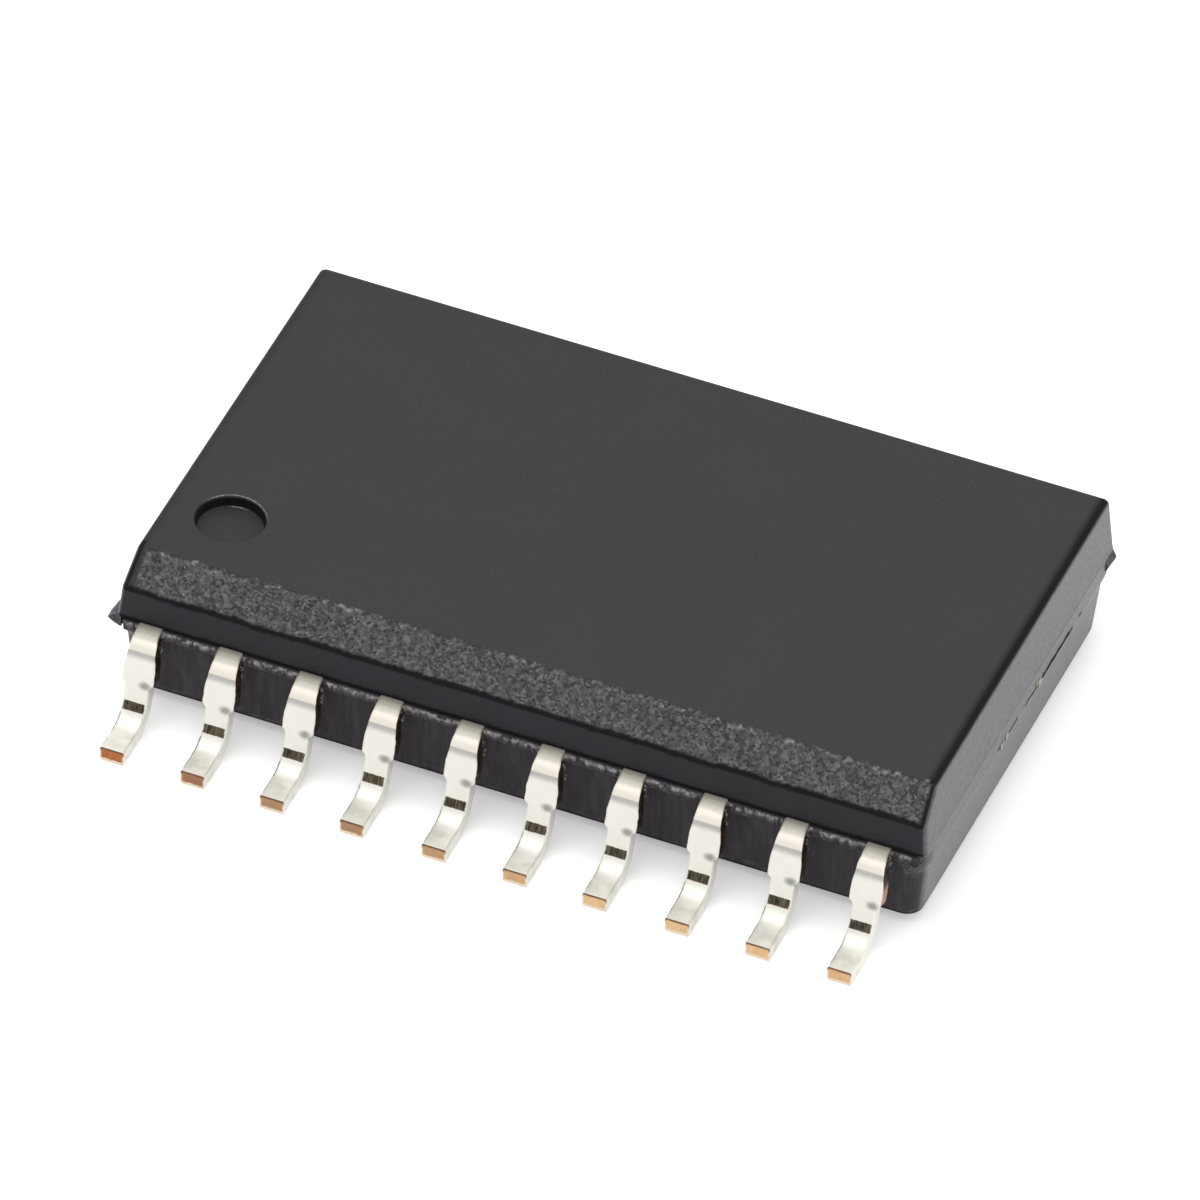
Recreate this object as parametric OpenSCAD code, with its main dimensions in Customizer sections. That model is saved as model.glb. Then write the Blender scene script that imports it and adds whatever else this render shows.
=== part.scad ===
// Wide-body small-outline integrated circuit, twenty gull-wing leads, millimetres.
// X runs along the package, Y across it, Z up from the plane that the feet stand on.
// Pin 1 is at -X -Y. The pins count along -Y towards +X and come back along +Y.

/* [Moulded body] */
// Length of the body at the parting line
body_length = 12.7; // [12.5:0.05:13.6]
// Width of the body at the parting line
body_width = 7.5; // [7:0.05:8.5]
// Depth of the lower moulded half, underside to parting line
lower_depth = 1.38; // [1.1:0.01:1.8]
// Height of the upper moulded half, parting line to top face
upper_height = 0.97; // [0.8:0.01:1.5]
// Gap between the underside and the board
standoff = 0.15; // [0.05:0.01:0.4]
// Taper of the moulded walls, degrees
draft_angle = 5; // [0:0.5:10]
// Radius of the upright corners of the upper half
upper_corner_radius = 0.09; // [0.05:0.01:0.4]
// Radius of the upright corners of the lower half
lower_corner_radius = 0.26; // [0.05:0.01:0.4]
// How far the long sides of the lower half stand in from the upper one
lower_inset = 0.06; // [0.01:0.01:0.15]
// How far the ends of the lower half stand in from the upper one
lower_end_inset = 0.02; // [0.01:0.01:0.15]
// Width of the bevel along the pin 1 edge
bevel_run = 0.52; // [0.25:0.01:0.75]
// Height of the bevel along the pin 1 edge
bevel_drop = 0.45; // [0.25:0.01:0.6]
// Radius of the top edges that have no bevel
top_edge_radius = 0.08; // [0.02:0.01:0.2]

/* [Pin 1 mark] */
// Diameter of the round recess at the top face
mark_diameter = 1.06; // [0.5:0.01:1.5]
// Depth of the recess
mark_depth = 0.18; // [0.05:0.01:0.4]
// Taper of the wall of the recess, degrees
mark_draft = 10; // [0:1:25]
// Centre of the recess in from the end of the body
mark_from_end = 1.09; // [0.9:0.01:2]
// Centre of the recess in from the side of the body
mark_from_side = 1.63; // [1.5:0.01:3]

/* [Resin flash] */
// How far the resin between the leads stands out from the body
flash_reach = 0.1; // [0.02:0.01:0.15]
// How far the flash stands out at the corner next to pin 1
corner_flash_reach = 0.18; // [0.02:0.01:0.3]
// Length of that flash along the end face
corner_flash_length = 0.5; // [0.3:0.05:1.5]
// How far the flash stands out at the opposite corner
far_flash_reach = 0.07; // [0.02:0.01:0.3]
// Length of that flash along the end face
far_flash_length = 0.3; // [0.3:0.05:1.5]

/* [Leads] */
// Distance between neighbouring leads
pitch = 1.27; // [1.2:0.01:1.3]
// How far both rows sit off the middle of the body, towards +X
row_offset = -0.08; // [-0.15:0.01:0.15]
// Thickness of the lead frame strip
strip_thickness = 0.25; // [0.15:0.01:0.35]
// Width of a foot
lead_width = 0.38; // [0.3:0.01:0.51]
// Width of a lead where it leaves the body
exit_width = 0.34; // [0.3:0.01:0.5]
// Width of a lead where the dam bar joined it
dam_width = 0.5; // [0.4:0.01:0.7]
// Depth below the parting line at which a lead reaches its full width
flare_depth = 0.5; // [0.3:0.01:0.55]
// Height above the board at which a lead narrows to the width of its foot
step_height = 0.76; // [0.62:0.01:0.9]
// Level stretch of a lead between the body and its first bend
exit_length = 0.005; // [0.005:0.005:0.2]
// Slope of the shoulder facet, degrees
shoulder_angle = 40; // [20:1:55]
// Length of the shoulder facet
shoulder_length = 0.08; // [0.02:0.01:0.2]
// Inside radius of the bends above and below the shoulder facet
shoulder_bend_radius = 0.07; // [0.05:0.01:0.15]
// Inside radius of the bend between leg and foot
foot_bend_radius = 0.39; // [0.2:0.01:0.45]
// Steepness of the leg above the board, degrees
leg_angle = 74; // [65:1:85]
// Flat length of a foot
foot_length = 0.447; // [0.3:0.001:0.9]

/* [Lead frame inside] */
// Straight inner end of a lead, inside the wall
finger_root_length = 0.6; // [0.3:0.05:0.8]
// Width of the fanned part of a lead
finger_width = 0.3; // [0.2:0.01:0.4]
// Straight tip that takes the bond wire
finger_tip_length = 0.35; // [0.25:0.01:0.45]
// Distance between neighbouring finger tips
finger_tip_pitch = 0.8; // [0.6:0.01:1]
// Space between the die paddle and the finger tips
finger_gap = 0.25; // [0.15:0.01:0.4]
// Length of the die paddle
paddle_length = 6; // [5:0.1:7]
// Width of the die paddle
paddle_width = 3.2; // [2.8:0.05:3.6]
// How far the paddle is set below the leads
paddle_downset = 0.25; // [0.1:0.01:0.4]
// Width of a tie bar
tie_width = 0.3; // [0.2:0.01:0.5]
// Distance between the two tie bars at each end
tie_spacing = 1.4; // [0.8:0.05:2]
// Length of the slope that lowers a tie bar to the paddle
tie_slope_length = 0.4; // [0.2:0.05:1]
// Flat stretch of a tie bar between the paddle and its slope
tie_flat_length = 0.6; // [0.2:0.05:1]

/* [Die and bonds] */
// Length of the die
die_length = 3.6; // [3:0.05:4.5]
// Width of the die
die_width = 2.2; // [1.8:0.05:2.4]
// Thickness of the die
die_thickness = 0.28; // [0.15:0.01:0.35]
// Thickness of the die attach layer
attach_thickness = 0.03; // [0.02:0.01:0.06]
// How far the die attach stands out round the die
attach_margin = 0.08; // [0.03:0.01:0.15]
// Diameter of a bond wire
wire_diameter = 0.03; // [0.02:0.005:0.05]
// Diameter of the ball on the die
ball_diameter = 0.08; // [0.06:0.01:0.11]
// Height of the ball on the die
ball_height = 0.03; // [0.03:0.005:0.05]
// Centre of a bond in from the edge of the die
bond_inset = 0.1; // [0.08:0.01:0.2]
// Centre of a stitch in from the tip of its finger
stitch_inset = 0.15; // [0.1:0.01:0.2]
// Angle at which a wire leaves the die, degrees
loop_angle = 30; // [25:1:50]

/* [Hidden] */
side_pins = 10;
pin_count = 2 * side_pins;
corner_steps = 4;
edge_steps = 3;
round_steps = 48;
ball_steps = 24;
wire_steps = 9;
wire_sides = 8;
cut_margin = 0.2;

half_length = body_length / 2;
half_width = body_width / 2;
parting_z = standoff + lower_depth;
top_z = parting_z + upper_height;
crease_z = top_z - bevel_drop;
strip_z = parting_z - strip_thickness;
lower_taper = lower_depth * tan(draft_angle);
upper_taper = upper_height * tan(draft_angle);
crease_taper = (crease_z - parting_z) * tan(draft_angle);

shoulder_bend_middle = shoulder_bend_radius + strip_thickness / 2;
foot_bend_middle = foot_bend_radius + strip_thickness / 2;
bend_drop = (shoulder_bend_middle + foot_bend_middle) * (1 - cos(leg_angle));
shoulder_drop = shoulder_length * sin(shoulder_angle);
leg_length = (strip_z - bend_drop - shoulder_drop) / sin(leg_angle);
bend_reach = (shoulder_bend_middle + foot_bend_middle) * sin(leg_angle);
slope_reach = shoulder_length * cos(shoulder_angle) + leg_length * cos(leg_angle);
lead_span = body_width + 2 * (exit_length + bend_reach + slope_reach + foot_length);

paddle_z = strip_z - paddle_downset;
attach_z = paddle_z + strip_thickness;
die_z = attach_z + attach_thickness;
die_top = die_z + die_thickness;
finger_tip_y = paddle_width / 2 + finger_gap;
finger_knee_y = finger_tip_y + finger_tip_length;
finger_root_y = half_width - finger_root_length;

function pin_name(prefix, pin) = str(prefix, pin < 10 ? "0" : "", pin);

// Place of a pin along its own row, counted from the middle of the row
function row_place(pin) = (pin - 1) % side_pins - (side_pins - 1) / 2;

// Offset of a row in its own frame: the row of pins 11 to 20 is turned half round
function row_shift(pin) = pin > side_pins ? -row_offset : row_offset;

function unit(v) = v / norm(v);
function left_of(v) = [-v[1], v[0]];

// Corner of a bent ribbon, moved sideways by d
function mitre(path, i, d) =
    let (
        last = len(path) - 1,
        before = unit(path[max(i, 1)] - path[max(i, 1) - 1]),
        after = unit(path[min(i, last - 1) + 1] - path[min(i, last - 1)]),
        n1 = left_of(before),
        n2 = left_of(after)
    )
    path[i] + d * (n1 + n2) / (1 + n1 * n2);

// Outline of a ribbon of one width along a path
function ribbon(path, width) = concat(
    [for (i = [0:len(path) - 1]) mitre(path, i, width / 2)],
    [for (i = [len(path) - 1:-1:0]) mitre(path, i, -width / 2)]
);

// Level ring with round corners, half a length to each end and its own reach to the front and back
function ring(half, front, back, radius, z) = [
    for (corner = [0:3], step = [0:corner_steps])
        let (
            turn = 90 * corner + 90 * step / corner_steps,
            x = (corner == 0 || corner == 3) ? half - radius : radius - half,
            y = corner < 2 ? back - radius : radius - front
        )
        [x + radius * cos(turn), y + radius * sin(turn), z]
];

// Solid skinned over rings from the lowest to the highest
module skinned(rings) {
    n = len(rings[0]);
    top = len(rings) - 1;
    walls = [
        for (k = [0:top - 1], i = [0:n - 1])
            let (j = (i + 1) % n)
            [k * n + i, (k + 1) * n + i, (k + 1) * n + j, k * n + j]
    ];
    polyhedron(
        points = [for (r = rings) each r],
        faces = concat([[for (i = [0:n - 1]) i]], walls, [[for (i = [n - 1:-1:0]) top * n + i]])
    );
}

// Row of pins 11 to 20: the row of pins 1 to 10 turned half round
module at_row(pin) {
    rotate([0, 0, pin > side_pins ? 180 : 0]) children();
}

module lower_half() {
    lip_half = half_length - lower_end_inset;
    lip_side = half_width - lower_inset;
    base_half = lip_half - lower_taper;
    base_side = lip_side - lower_taper;
    skinned([
        ring(base_half, base_side, base_side, lower_corner_radius, standoff),
        ring(lip_half, lip_side, lip_side, lower_corner_radius, parting_z)
    ]);
}

module upper_half() {
    radius = upper_corner_radius;
    crease_half = half_length - crease_taper;
    crease_side = half_width - crease_taper;
    skinned(concat(
        [
            ring(half_length, half_width, half_width, radius, parting_z),
            ring(crease_half, crease_side, crease_side, radius, crease_z)
        ],
        [
            for (step = [0:edge_steps])
                let (
                    turn = 90 * step / edge_steps,
                    z = top_z - top_edge_radius * (1 - sin(turn)),
                    inset = (z - parting_z) * tan(draft_angle) + top_edge_radius * (1 - cos(turn)),
                    bevel_inset = crease_taper + bevel_run * (z - crease_z) / bevel_drop
                )
                ring(half_length - inset, half_width - bevel_inset, half_width - inset, radius, z)
        ]
    ));
}

// Resin that filled the gaps of the lead frame, between the leads of the row that has this pin
module row_flash(pin) {
    flare = (dam_width - exit_width) * strip_thickness / flare_depth;
    top_web = pitch - exit_width;
    bottom_web = top_web - flare;
    outer_y = half_width + flash_reach;
    inner_y = half_width - lower_inset - cut_margin;
    for (gap = [1:side_pins - 1])
        at_row(pin)
            translate([(gap - side_pins / 2) * pitch + row_shift(pin), -inner_y, strip_z])
                rotate([90, 0, 0])
                    linear_extrude(outer_y - inner_y)
                        polygon([
                            [-bottom_web / 2, 0],
                            [bottom_web / 2, 0],
                            [top_web / 2, strip_thickness],
                            [-top_web / 2, strip_thickness]
                        ]);
}

// Resin along one end face, at the level of the lead frame, flush with the upper half
module end_flash() {
    reach = half_width - lower_inset - lower_corner_radius;
    depth = lower_end_inset + cut_margin;
    translate([-half_length, -reach, strip_z])
        cube([depth, 2 * reach, strip_thickness]);
}

// Flash on the end face, at the corner next to pin 1, that thins out to an edge
module corner_flash(reach, length) {
    root_x = lower_end_inset + cut_margin - half_length;
    translate([0, lower_inset + length - half_width, 0])
        rotate([90, 0, 0])
            linear_extrude(length)
                polygon([
                    [-half_length - reach, strip_z + strip_thickness / 2],
                    [-half_length, strip_z],
                    [root_x, strip_z],
                    [root_x, parting_z],
                    [-half_length, parting_z]
                ]);
}

module pin_1_mark() {
    floor_diameter = mark_diameter - 2 * mark_depth * tan(mark_draft);
    translate([mark_from_end - half_length, mark_from_side - half_width, top_z - mark_depth])
        cylinder(d1 = floor_diameter, d2 = mark_diameter, h = mark_depth, $fn = round_steps);
}

module body() {
    color("#323236")
        difference() {
            union() {
                lower_half();
                upper_half();
                for (pin = [1, side_pins + 1]) {
                    row_flash(pin);
                    at_row(pin)
                        end_flash();
                }
                corner_flash(corner_flash_reach, corner_flash_length);
                rotate(180)
                    corner_flash(far_flash_reach, far_flash_length);
            }
            pin_1_mark();
            paddle_shape();
            attach_shape();
            die_shape();
            for (pin = [1:pin_count]) {
                finger_shape(pin);
                wire_shape(pin);
            }
        }
}

// Flat inner end of a lead, from the side of the body to its bonding tip
module finger_shape(pin) {
    place = row_place(pin);
    root_x = place * pitch + row_shift(pin);
    tip_x = place * finger_tip_pitch + row_shift(pin);
    path = [
        [root_x, -finger_root_y - finger_width],
        [root_x, -finger_root_y],
        [tip_x, -finger_knee_y],
        [tip_x, -finger_tip_y]
    ];
    at_row(pin)
        translate([0, 0, strip_z])
            linear_extrude(strip_thickness)
                union() {
                    polygon(ribbon(path, finger_width));
                    translate([root_x - exit_width / 2, -half_width])
                        square([exit_width, finger_root_length]);
                }
}

// Straight length of strip that runs along -Y from the origin, top face at z = 0
module strip(length) {
    translate([-dam_width / 2, -length, -strip_thickness])
        cube([dam_width, length, strip_thickness]);
}

// Bend downwards from the origin, with its centre below the strip
module bend_down(radius, angle) {
    translate([dam_width / 2, 0, -strip_thickness - radius])
        rotate([0, -90, 0])
            mirror([0, 1, 0])
                rotate_extrude(angle = angle, $fn = round_steps)
                    translate([radius, 0])
                        square([strip_thickness, dam_width]);
}

// Bend back to level from the origin, with its centre above the strip
module bend_level(radius, angle) {
    translate([-dam_width / 2, 0, radius])
        rotate([0, 90, 0])
            mirror([0, 1, 0])
                rotate_extrude(angle = angle, $fn = round_steps)
                    translate([radius, 0])
                        square([strip_thickness, dam_width]);
}

// Carries its children to the far end of a downward bend
module after_bend_down(radius, angle) {
    translate([0, 0, -strip_thickness - radius])
        rotate([angle, 0, 0])
            translate([0, 0, strip_thickness + radius])
                children();
}

// Carries its children to the far end of a bend back to level
module after_bend_level(radius, angle) {
    translate([0, 0, radius])
        rotate([-angle, 0, 0])
            translate([0, 0, -radius])
                children();
}

// Formed outer end of a lead, of full width throughout: shoulder facet, leg and foot
module formed_strip() {
    second_bend = leg_angle - shoulder_angle;
    strip(exit_length);
    translate([0, -exit_length, 0]) {
        bend_down(shoulder_bend_radius, shoulder_angle);
        after_bend_down(shoulder_bend_radius, shoulder_angle) {
            strip(shoulder_length);
            translate([0, -shoulder_length, 0]) {
                bend_down(shoulder_bend_radius, second_bend);
                after_bend_down(shoulder_bend_radius, second_bend) {
                    strip(leg_length);
                    translate([0, -leg_length, 0]) {
                        bend_level(foot_bend_radius, leg_angle);
                        after_bend_level(foot_bend_radius, leg_angle)
                            strip(foot_length);
                    }
                }
            }
        }
    }
}

// Front view of a lead: narrow at the body, wide at the cut dam bar, narrow at the foot
module lead_outline() {
    right_side = [
        [lead_width / 2, -cut_margin],
        [lead_width / 2, step_height],
        [dam_width / 2, step_height],
        [dam_width / 2, parting_z - flare_depth],
        [exit_width / 2, parting_z],
        [exit_width / 2, parting_z + cut_margin]
    ];
    left_side = [for (i = [len(right_side) - 1:-1:0]) [-right_side[i][0], right_side[i][1]]];
    polygon(concat(right_side, left_side));
}

// Gull wing of one lead at the middle of the row, outside the body
module gull_wing() {
    reach = lead_span / 2 + cut_margin;
    intersection() {
        translate([0, -half_width, parting_z])
            formed_strip();
        rotate([90, 0, 0])
            linear_extrude(reach)
                lead_outline();
    }
}

module lead(pin) {
    color("#e8e6e0")
        union() {
            finger_shape(pin);
            at_row(pin)
                translate([row_place(pin) * pitch + row_shift(pin), 0, 0])
                    gull_wing();
        }
}

// One tie bar seen from the side: level at the end face, then down to the paddle
module tie_bar() {
    flat_x = paddle_length / 2 + tie_flat_length;
    slope_x = flat_x + tie_slope_length;
    start_x = paddle_length / 2 - cut_margin;
    path = [
        [start_x, paddle_z],
        [flat_x, paddle_z],
        [slope_x, strip_z],
        [half_length, strip_z]
    ];
    raised = [for (p = path) p + [0, strip_thickness]];
    rotate([90, 0, 0])
        linear_extrude(tie_width, center = true)
            polygon(concat(path, [for (i = [len(raised) - 1:-1:0]) raised[i]]));
}

module paddle_shape() {
    translate([-paddle_length / 2, -paddle_width / 2, paddle_z])
        cube([paddle_length, paddle_width, strip_thickness]);
    for (turn = [0, 180], side = [-1, 1])
        rotate([0, 0, turn])
            translate([0, side * tie_spacing / 2, 0])
                tie_bar();
}

module die_paddle() {
    color("#b87850") paddle_shape();
}

module attach_shape() {
    length = die_length + 2 * attach_margin;
    width = die_width + 2 * attach_margin;
    translate([-length / 2, -width / 2, attach_z])
        cube([length, width, attach_thickness]);
}

module die_attach() {
    color("#8f9094") attach_shape();
}

module die_shape() {
    translate([-die_length / 2, -die_width / 2, die_z])
        cube([die_length, die_width, die_thickness]);
}

module die() {
    color("#5a6270") die_shape();
}

// Ring of points moved along a direction until they meet the level z
function meet_level(ring, direction, z) = [
    for (p = ring) p + direction * (z - p[2]) / direction[2]
];

// Rings of a thin wire that arcs over in the XZ plane, from the origin down to [span, 0, -fall]
function wire_rings(span, fall) =
    let (
        tilt = atan2(fall, span),
        radius = norm([span, fall]) / 2 / sin(loop_angle),
        depth = radius * cos(loop_angle),
        middle_x = span / 2 - depth * sin(tilt),
        middle_z = -fall / 2 - depth * cos(tilt),
        steps = [
            for (k = [0:wire_steps])
                let (turn = 90 - tilt + loop_angle * (1 - 2 * k / wire_steps))
                [
                    for (side = [0:wire_sides - 1])
                        let (
                            around = 360 * side / wire_sides,
                            out = radius + wire_diameter / 2 * cos(around),
                            y = -wire_diameter / 2 * sin(around)
                        )
                        [middle_x + out * cos(turn), y, middle_z + out * sin(turn)]
                ]
        ],
        first = steps[0][0] - steps[1][0],
        last = steps[wire_steps][0] - steps[wire_steps - 1][0]
    )
    concat(
        [meet_level(steps[1], first, 0)],
        [for (k = [1:wire_steps - 1]) steps[k]],
        [meet_level(steps[wire_steps - 1], last, -fall)]
    );

// Bond wire: a flat ball on the die and one arc to the stitch on the finger
module wire_shape(pin) {
    place = row_place(pin);
    far_place = (side_pins - 1) / 2;
    bond = [place / far_place * (die_length / 2 - bond_inset), bond_inset - die_width / 2];
    stitch = [place * finger_tip_pitch + row_shift(pin), -finger_tip_y - stitch_inset];
    span = norm(stitch - bond);
    fall = die_top + ball_height - parting_z;
    heading = atan2(stitch[1] - bond[1], stitch[0] - bond[0]);
    at_row(pin)
        translate([bond[0], bond[1], die_top]) {
            cylinder(d = ball_diameter, h = ball_height, $fn = ball_steps);
            translate([0, 0, ball_height])
                rotate([0, 0, heading])
                    skinned(wire_rings(span, fall));
        }
}

module wire(pin) {
    color("#d9a520") wire_shape(pin);
}

body();
die_paddle();
die_attach();
die();
for (pin = [1:pin_count]) {
    lead(pin);
    wire(pin);
}
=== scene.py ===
# %% [markdown]
# # A wide-body small-outline chip
# The object is a black moulded package, 12.7 by 7.5 mm, with twenty tinned gull-wing leads.
# The CAD model already has every solid at its true place. This notebook gives those solids the
# skin of the real thing: edges that are a little round, grain, resin flash, tin and cut copper.
# Everything is in metres, in the CAD model's own frame. Sizes are written in millimetres.

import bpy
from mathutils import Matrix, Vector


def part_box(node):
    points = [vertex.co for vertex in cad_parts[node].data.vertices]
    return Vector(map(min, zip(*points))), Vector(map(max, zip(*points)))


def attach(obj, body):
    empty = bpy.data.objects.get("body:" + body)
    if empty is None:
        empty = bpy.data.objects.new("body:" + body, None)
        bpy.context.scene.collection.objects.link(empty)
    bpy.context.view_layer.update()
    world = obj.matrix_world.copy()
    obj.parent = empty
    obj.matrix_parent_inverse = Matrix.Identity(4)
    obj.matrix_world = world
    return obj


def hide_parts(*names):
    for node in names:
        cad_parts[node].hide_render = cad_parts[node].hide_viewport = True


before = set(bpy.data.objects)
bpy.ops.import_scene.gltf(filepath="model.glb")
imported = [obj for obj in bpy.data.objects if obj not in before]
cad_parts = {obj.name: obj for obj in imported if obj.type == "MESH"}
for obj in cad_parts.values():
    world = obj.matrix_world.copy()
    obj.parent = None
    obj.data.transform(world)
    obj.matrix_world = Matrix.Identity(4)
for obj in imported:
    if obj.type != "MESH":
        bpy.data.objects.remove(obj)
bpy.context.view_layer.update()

# %% Tools used throughout
import math
import random

import bpy
import bmesh
import numpy as np
from mathutils import Matrix, Vector, noise

MM = 0.001
print("one millimetre is", MM, "m")

# %% [markdown]
# ## Sizes
# What can be read off the CAD boxes is read off them, so the skin follows the solids.
# The rest repeats the named values of the CAD source, in millimetres.

# %% Sizes of the body and the leads
body_low, body_high = (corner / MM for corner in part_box("body"))
paddle_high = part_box("die_paddle")[1] / MM
lead_low, lead_high = (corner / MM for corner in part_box("lead_01"))

FLASH_REACH = 0.1
HALF_LENGTH = paddle_high.x
HALF_WIDTH = body_high.y - FLASH_REACH
BASE_Z = body_low.z
TOP_Z = body_high.z
PARTING_Z = lead_high.z
STRIP = 0.25
STRIP_Z = PARTING_Z - STRIP
TIE_COVER = 0.004
DRAFT = math.tan(math.radians(5))
LOWER_SIDE_INSET = 0.06
LOWER_END_INSET = 0.02
BEVEL_RUN = 0.52
BEVEL_DROP = 0.45
CREASE_Z = TOP_Z - BEVEL_DROP
TOP_ROUND = 0.08
UPPER_CORNER = 0.09
LOWER_CORNER = 0.26
MARK = dict(x=1.09 - HALF_LENGTH, y=1.63 - HALF_WIDTH, radius=0.53, depth=0.18)
PITCH = 1.27
ROW_PINS = 10
HALF_ROW = (ROW_PINS - 1) / 2
PINS = range(1, 2 * ROW_PINS + 1)
EXIT_WIDTH = 0.34
DAM_WIDTH = 0.5
ROW_X = lead_low.x + DAM_WIDTH / 2 + HALF_ROW * PITCH
print(f"body {2 * HALF_LENGTH:.2f} x {2 * HALF_WIDTH:.2f} mm, parting line at {PARTING_Z:.2f} mm")
print(f"rows sit {ROW_X:+.3f} mm off the middle")


# %% [markdown]
# ## Small helpers
# A mesh is made from plain lists of points and faces. Noise from `mathutils` depends only on
# where it is sampled, so the same script always makes the same bumps.

# %% Mesh helper
def make_piece(name, points_mm, faces, materials, replaced=()):
    """One mesh object from points in millimetres, riding on the part's only body."""
    mesh = bpy.data.meshes.new(name)
    mesh.from_pydata([Vector(p) * MM for p in points_mm], [], faces)
    mesh.validate()
    for material in materials:
        mesh.materials.append(material)
    piece = bpy.data.objects.new(name, mesh)
    bpy.context.scene.collection.objects.link(piece)
    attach(piece, "root")
    if replaced:
        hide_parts(*replaced)
    print(f"{name}: {len(mesh.vertices)} points, {len(mesh.polygons)} faces")
    return piece


def smooth_shade(piece, sharp_degrees):
    """Smooth shading, broken at edges sharper than the given angle."""
    piece.data.shade_smooth()
    piece.data.set_sharp_from_angle(angle=math.radians(sharp_degrees))


def store(piece, name, values):
    """One number for each point, for a material to read."""
    layer = piece.data.attributes.new(name, "FLOAT", "POINT")
    layer.data.foreach_set("value", [float(v) for v in values])


def ripple(x, y, z, size, seed=0.0):
    """Smooth noise from -1 to 1 whose bumps are about this many millimetres wide."""
    return noise.noise(Vector((x / size + seed, y / size - seed, z / size + 2 * seed)))


def ease(value, start, end):
    """0 before start, 1 after end, and a soft step between."""
    t = min(max((value - start) / (end - start), 0.0), 1.0)
    return t * t * (3 - 2 * t)


# %% Material helpers
def linear(code):
    """Linear colour, with alpha, from an sRGB hex code."""
    parts = [int(code[i:i + 2], 16) / 255 for i in (1, 3, 5)]
    return [p / 12.92 if p < 0.04045 else ((p + 0.055) / 1.055) ** 2.4 for p in parts] + [1.0]


def add_node(tree, kind, settings=None, **inputs):
    """Adds a shader node. Inputs are values or output sockets, keyed by name, or by _number."""
    node = tree.nodes.new("ShaderNode" + kind)
    for key, value in (settings or {}).items():
        setattr(node, key, value)
    for key, value in inputs.items():
        socket = node.inputs[int(key[1:])] if key[0] == "_" else node.inputs[key.replace("_", " ")]
        if isinstance(value, bpy.types.NodeSocket):
            tree.links.new(value, socket)
        else:
            socket.default_value = value
    return node


def new_material(name):
    """A material with nodes, its tree, and its Principled shader."""
    material = bpy.data.materials.new(name)
    material.use_nodes = True
    tree = material.node_tree
    return material, tree, tree.nodes["Principled BSDF"]


def per_mm(size_mm):
    """Texture scale that makes one feature this many millimetres wide."""
    return 1 / (size_mm * MM)


# %% [markdown]
# ## Camera
# The view is from the front right, 41 degrees up, with a long lens, which keeps the edges of
# the package nearly parallel. The camera aims a hair beside the middle of the package.

# %% Camera
camera_data = bpy.data.cameras.new("camera")
camera_data.lens = 602.1
camera_data.sensor_width = 36
camera_data.clip_start = 0.01
camera_data.clip_end = 100
camera = bpy.data.objects.new("camera", camera_data)
bpy.context.scene.collection.objects.link(camera)
bpy.context.scene.camera = camera

azimuth, elevation, roll = (math.radians(a) for a in (20.726, 41.442, 2.577))
back = Vector((
    math.sin(azimuth) * math.cos(elevation),
    -math.cos(azimuth) * math.cos(elevation),
    math.sin(elevation),
))
level = Vector((math.cos(azimuth), math.sin(azimuth), 0))
upright = back.cross(level)
right = level * math.cos(roll) + upright * math.sin(roll)
up = upright * math.cos(roll) - level * math.sin(roll)
MIDDLE_Z, AIM_LEFT, AIM_DOWN, CAMERA_DISTANCE = 1.2, 0.238, 0.035, 293.474
aim = Vector((0, 0, MIDDLE_Z)) - right * AIM_LEFT - up * AIM_DOWN
turn = Matrix((right, up, back)).transposed().to_4x4()
camera.matrix_world = Matrix.Translation((aim + back * CAMERA_DISTANCE) * MM) @ turn
print("camera at", tuple(round(c, 4) for c in camera.location))

# %% [markdown]
# ## Light
# A small shiny thing shows the room it stands in. Here the room is a pale light tent: bright
# all round, brighter overhead, with one dark opening low at the front where the lens looks in.
# The legs of the leads face that opening, and it keeps them a shade below white.

# %% World
world = bpy.data.worlds.new("light_tent")
bpy.context.scene.world = world
world.use_nodes = True
tent = world.node_tree
tent.nodes.clear()
place = add_node(tent, "TexCoord").outputs["Generated"]
height = add_node(tent, "SeparateXYZ", Vector=place).outputs["Z"]
OPENING_SIDE = (-0.26, -0.965, 0)
toward = add_node(
    tent, "VectorMath", {"operation": "DOT_PRODUCT"}, _0=place, _1=OPENING_SIDE
).outputs["Value"]
sideways = add_node(
    tent, "MapRange", {"interpolation_type": "SMOOTHSTEP"},
    Value=toward, From_Min=0.62, From_Max=0.74,
).outputs["Result"]
low_down = add_node(
    tent, "MapRange", {"interpolation_type": "SMOOTHSTEP"},
    Value=height, From_Min=0.66, From_Max=0.54,
).outputs["Result"]
opening = add_node(tent, "Math", {"operation": "MULTIPLY"}, _0=sideways, _1=low_down).outputs[0]
shade = add_node(tent, "MapRange", Value=opening, To_Min=0.95, To_Max=0.4).outputs["Result"]
seen = add_node(tent, "LightPath").outputs["Is Camera Ray"]
strength = add_node(tent, "Mix", {"data_type": "FLOAT"}, Factor=seen, A=shade, B=1.0).outputs["Result"]
glow = add_node(tent, "Background", Color=linear("#fdfeff"), Strength=strength)
add_node(tent, "OutputWorld", Surface=glow.outputs[0])
print("world ready")


# %% Softbox
def softbox(name, azimuth, elevation, distance, size, radiance):
    """A square area lamp that faces the package, as bright as a white card of this radiance."""
    data = bpy.data.lights.new(name, "AREA")
    data.size = size
    data.energy = radiance * math.pi * size * size
    lamp = bpy.data.objects.new(name, data)
    bpy.context.scene.collection.objects.link(lamp)
    a, e = math.radians(azimuth), math.radians(elevation)
    away = Vector((math.sin(a) * math.cos(e), -math.cos(a) * math.cos(e), math.sin(e)))
    lamp.location = away * distance
    lamp.rotation_euler = away.to_track_quat("Z", "Y").to_euler()
    print(f"{name}: {data.energy:.2f} W")


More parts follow.
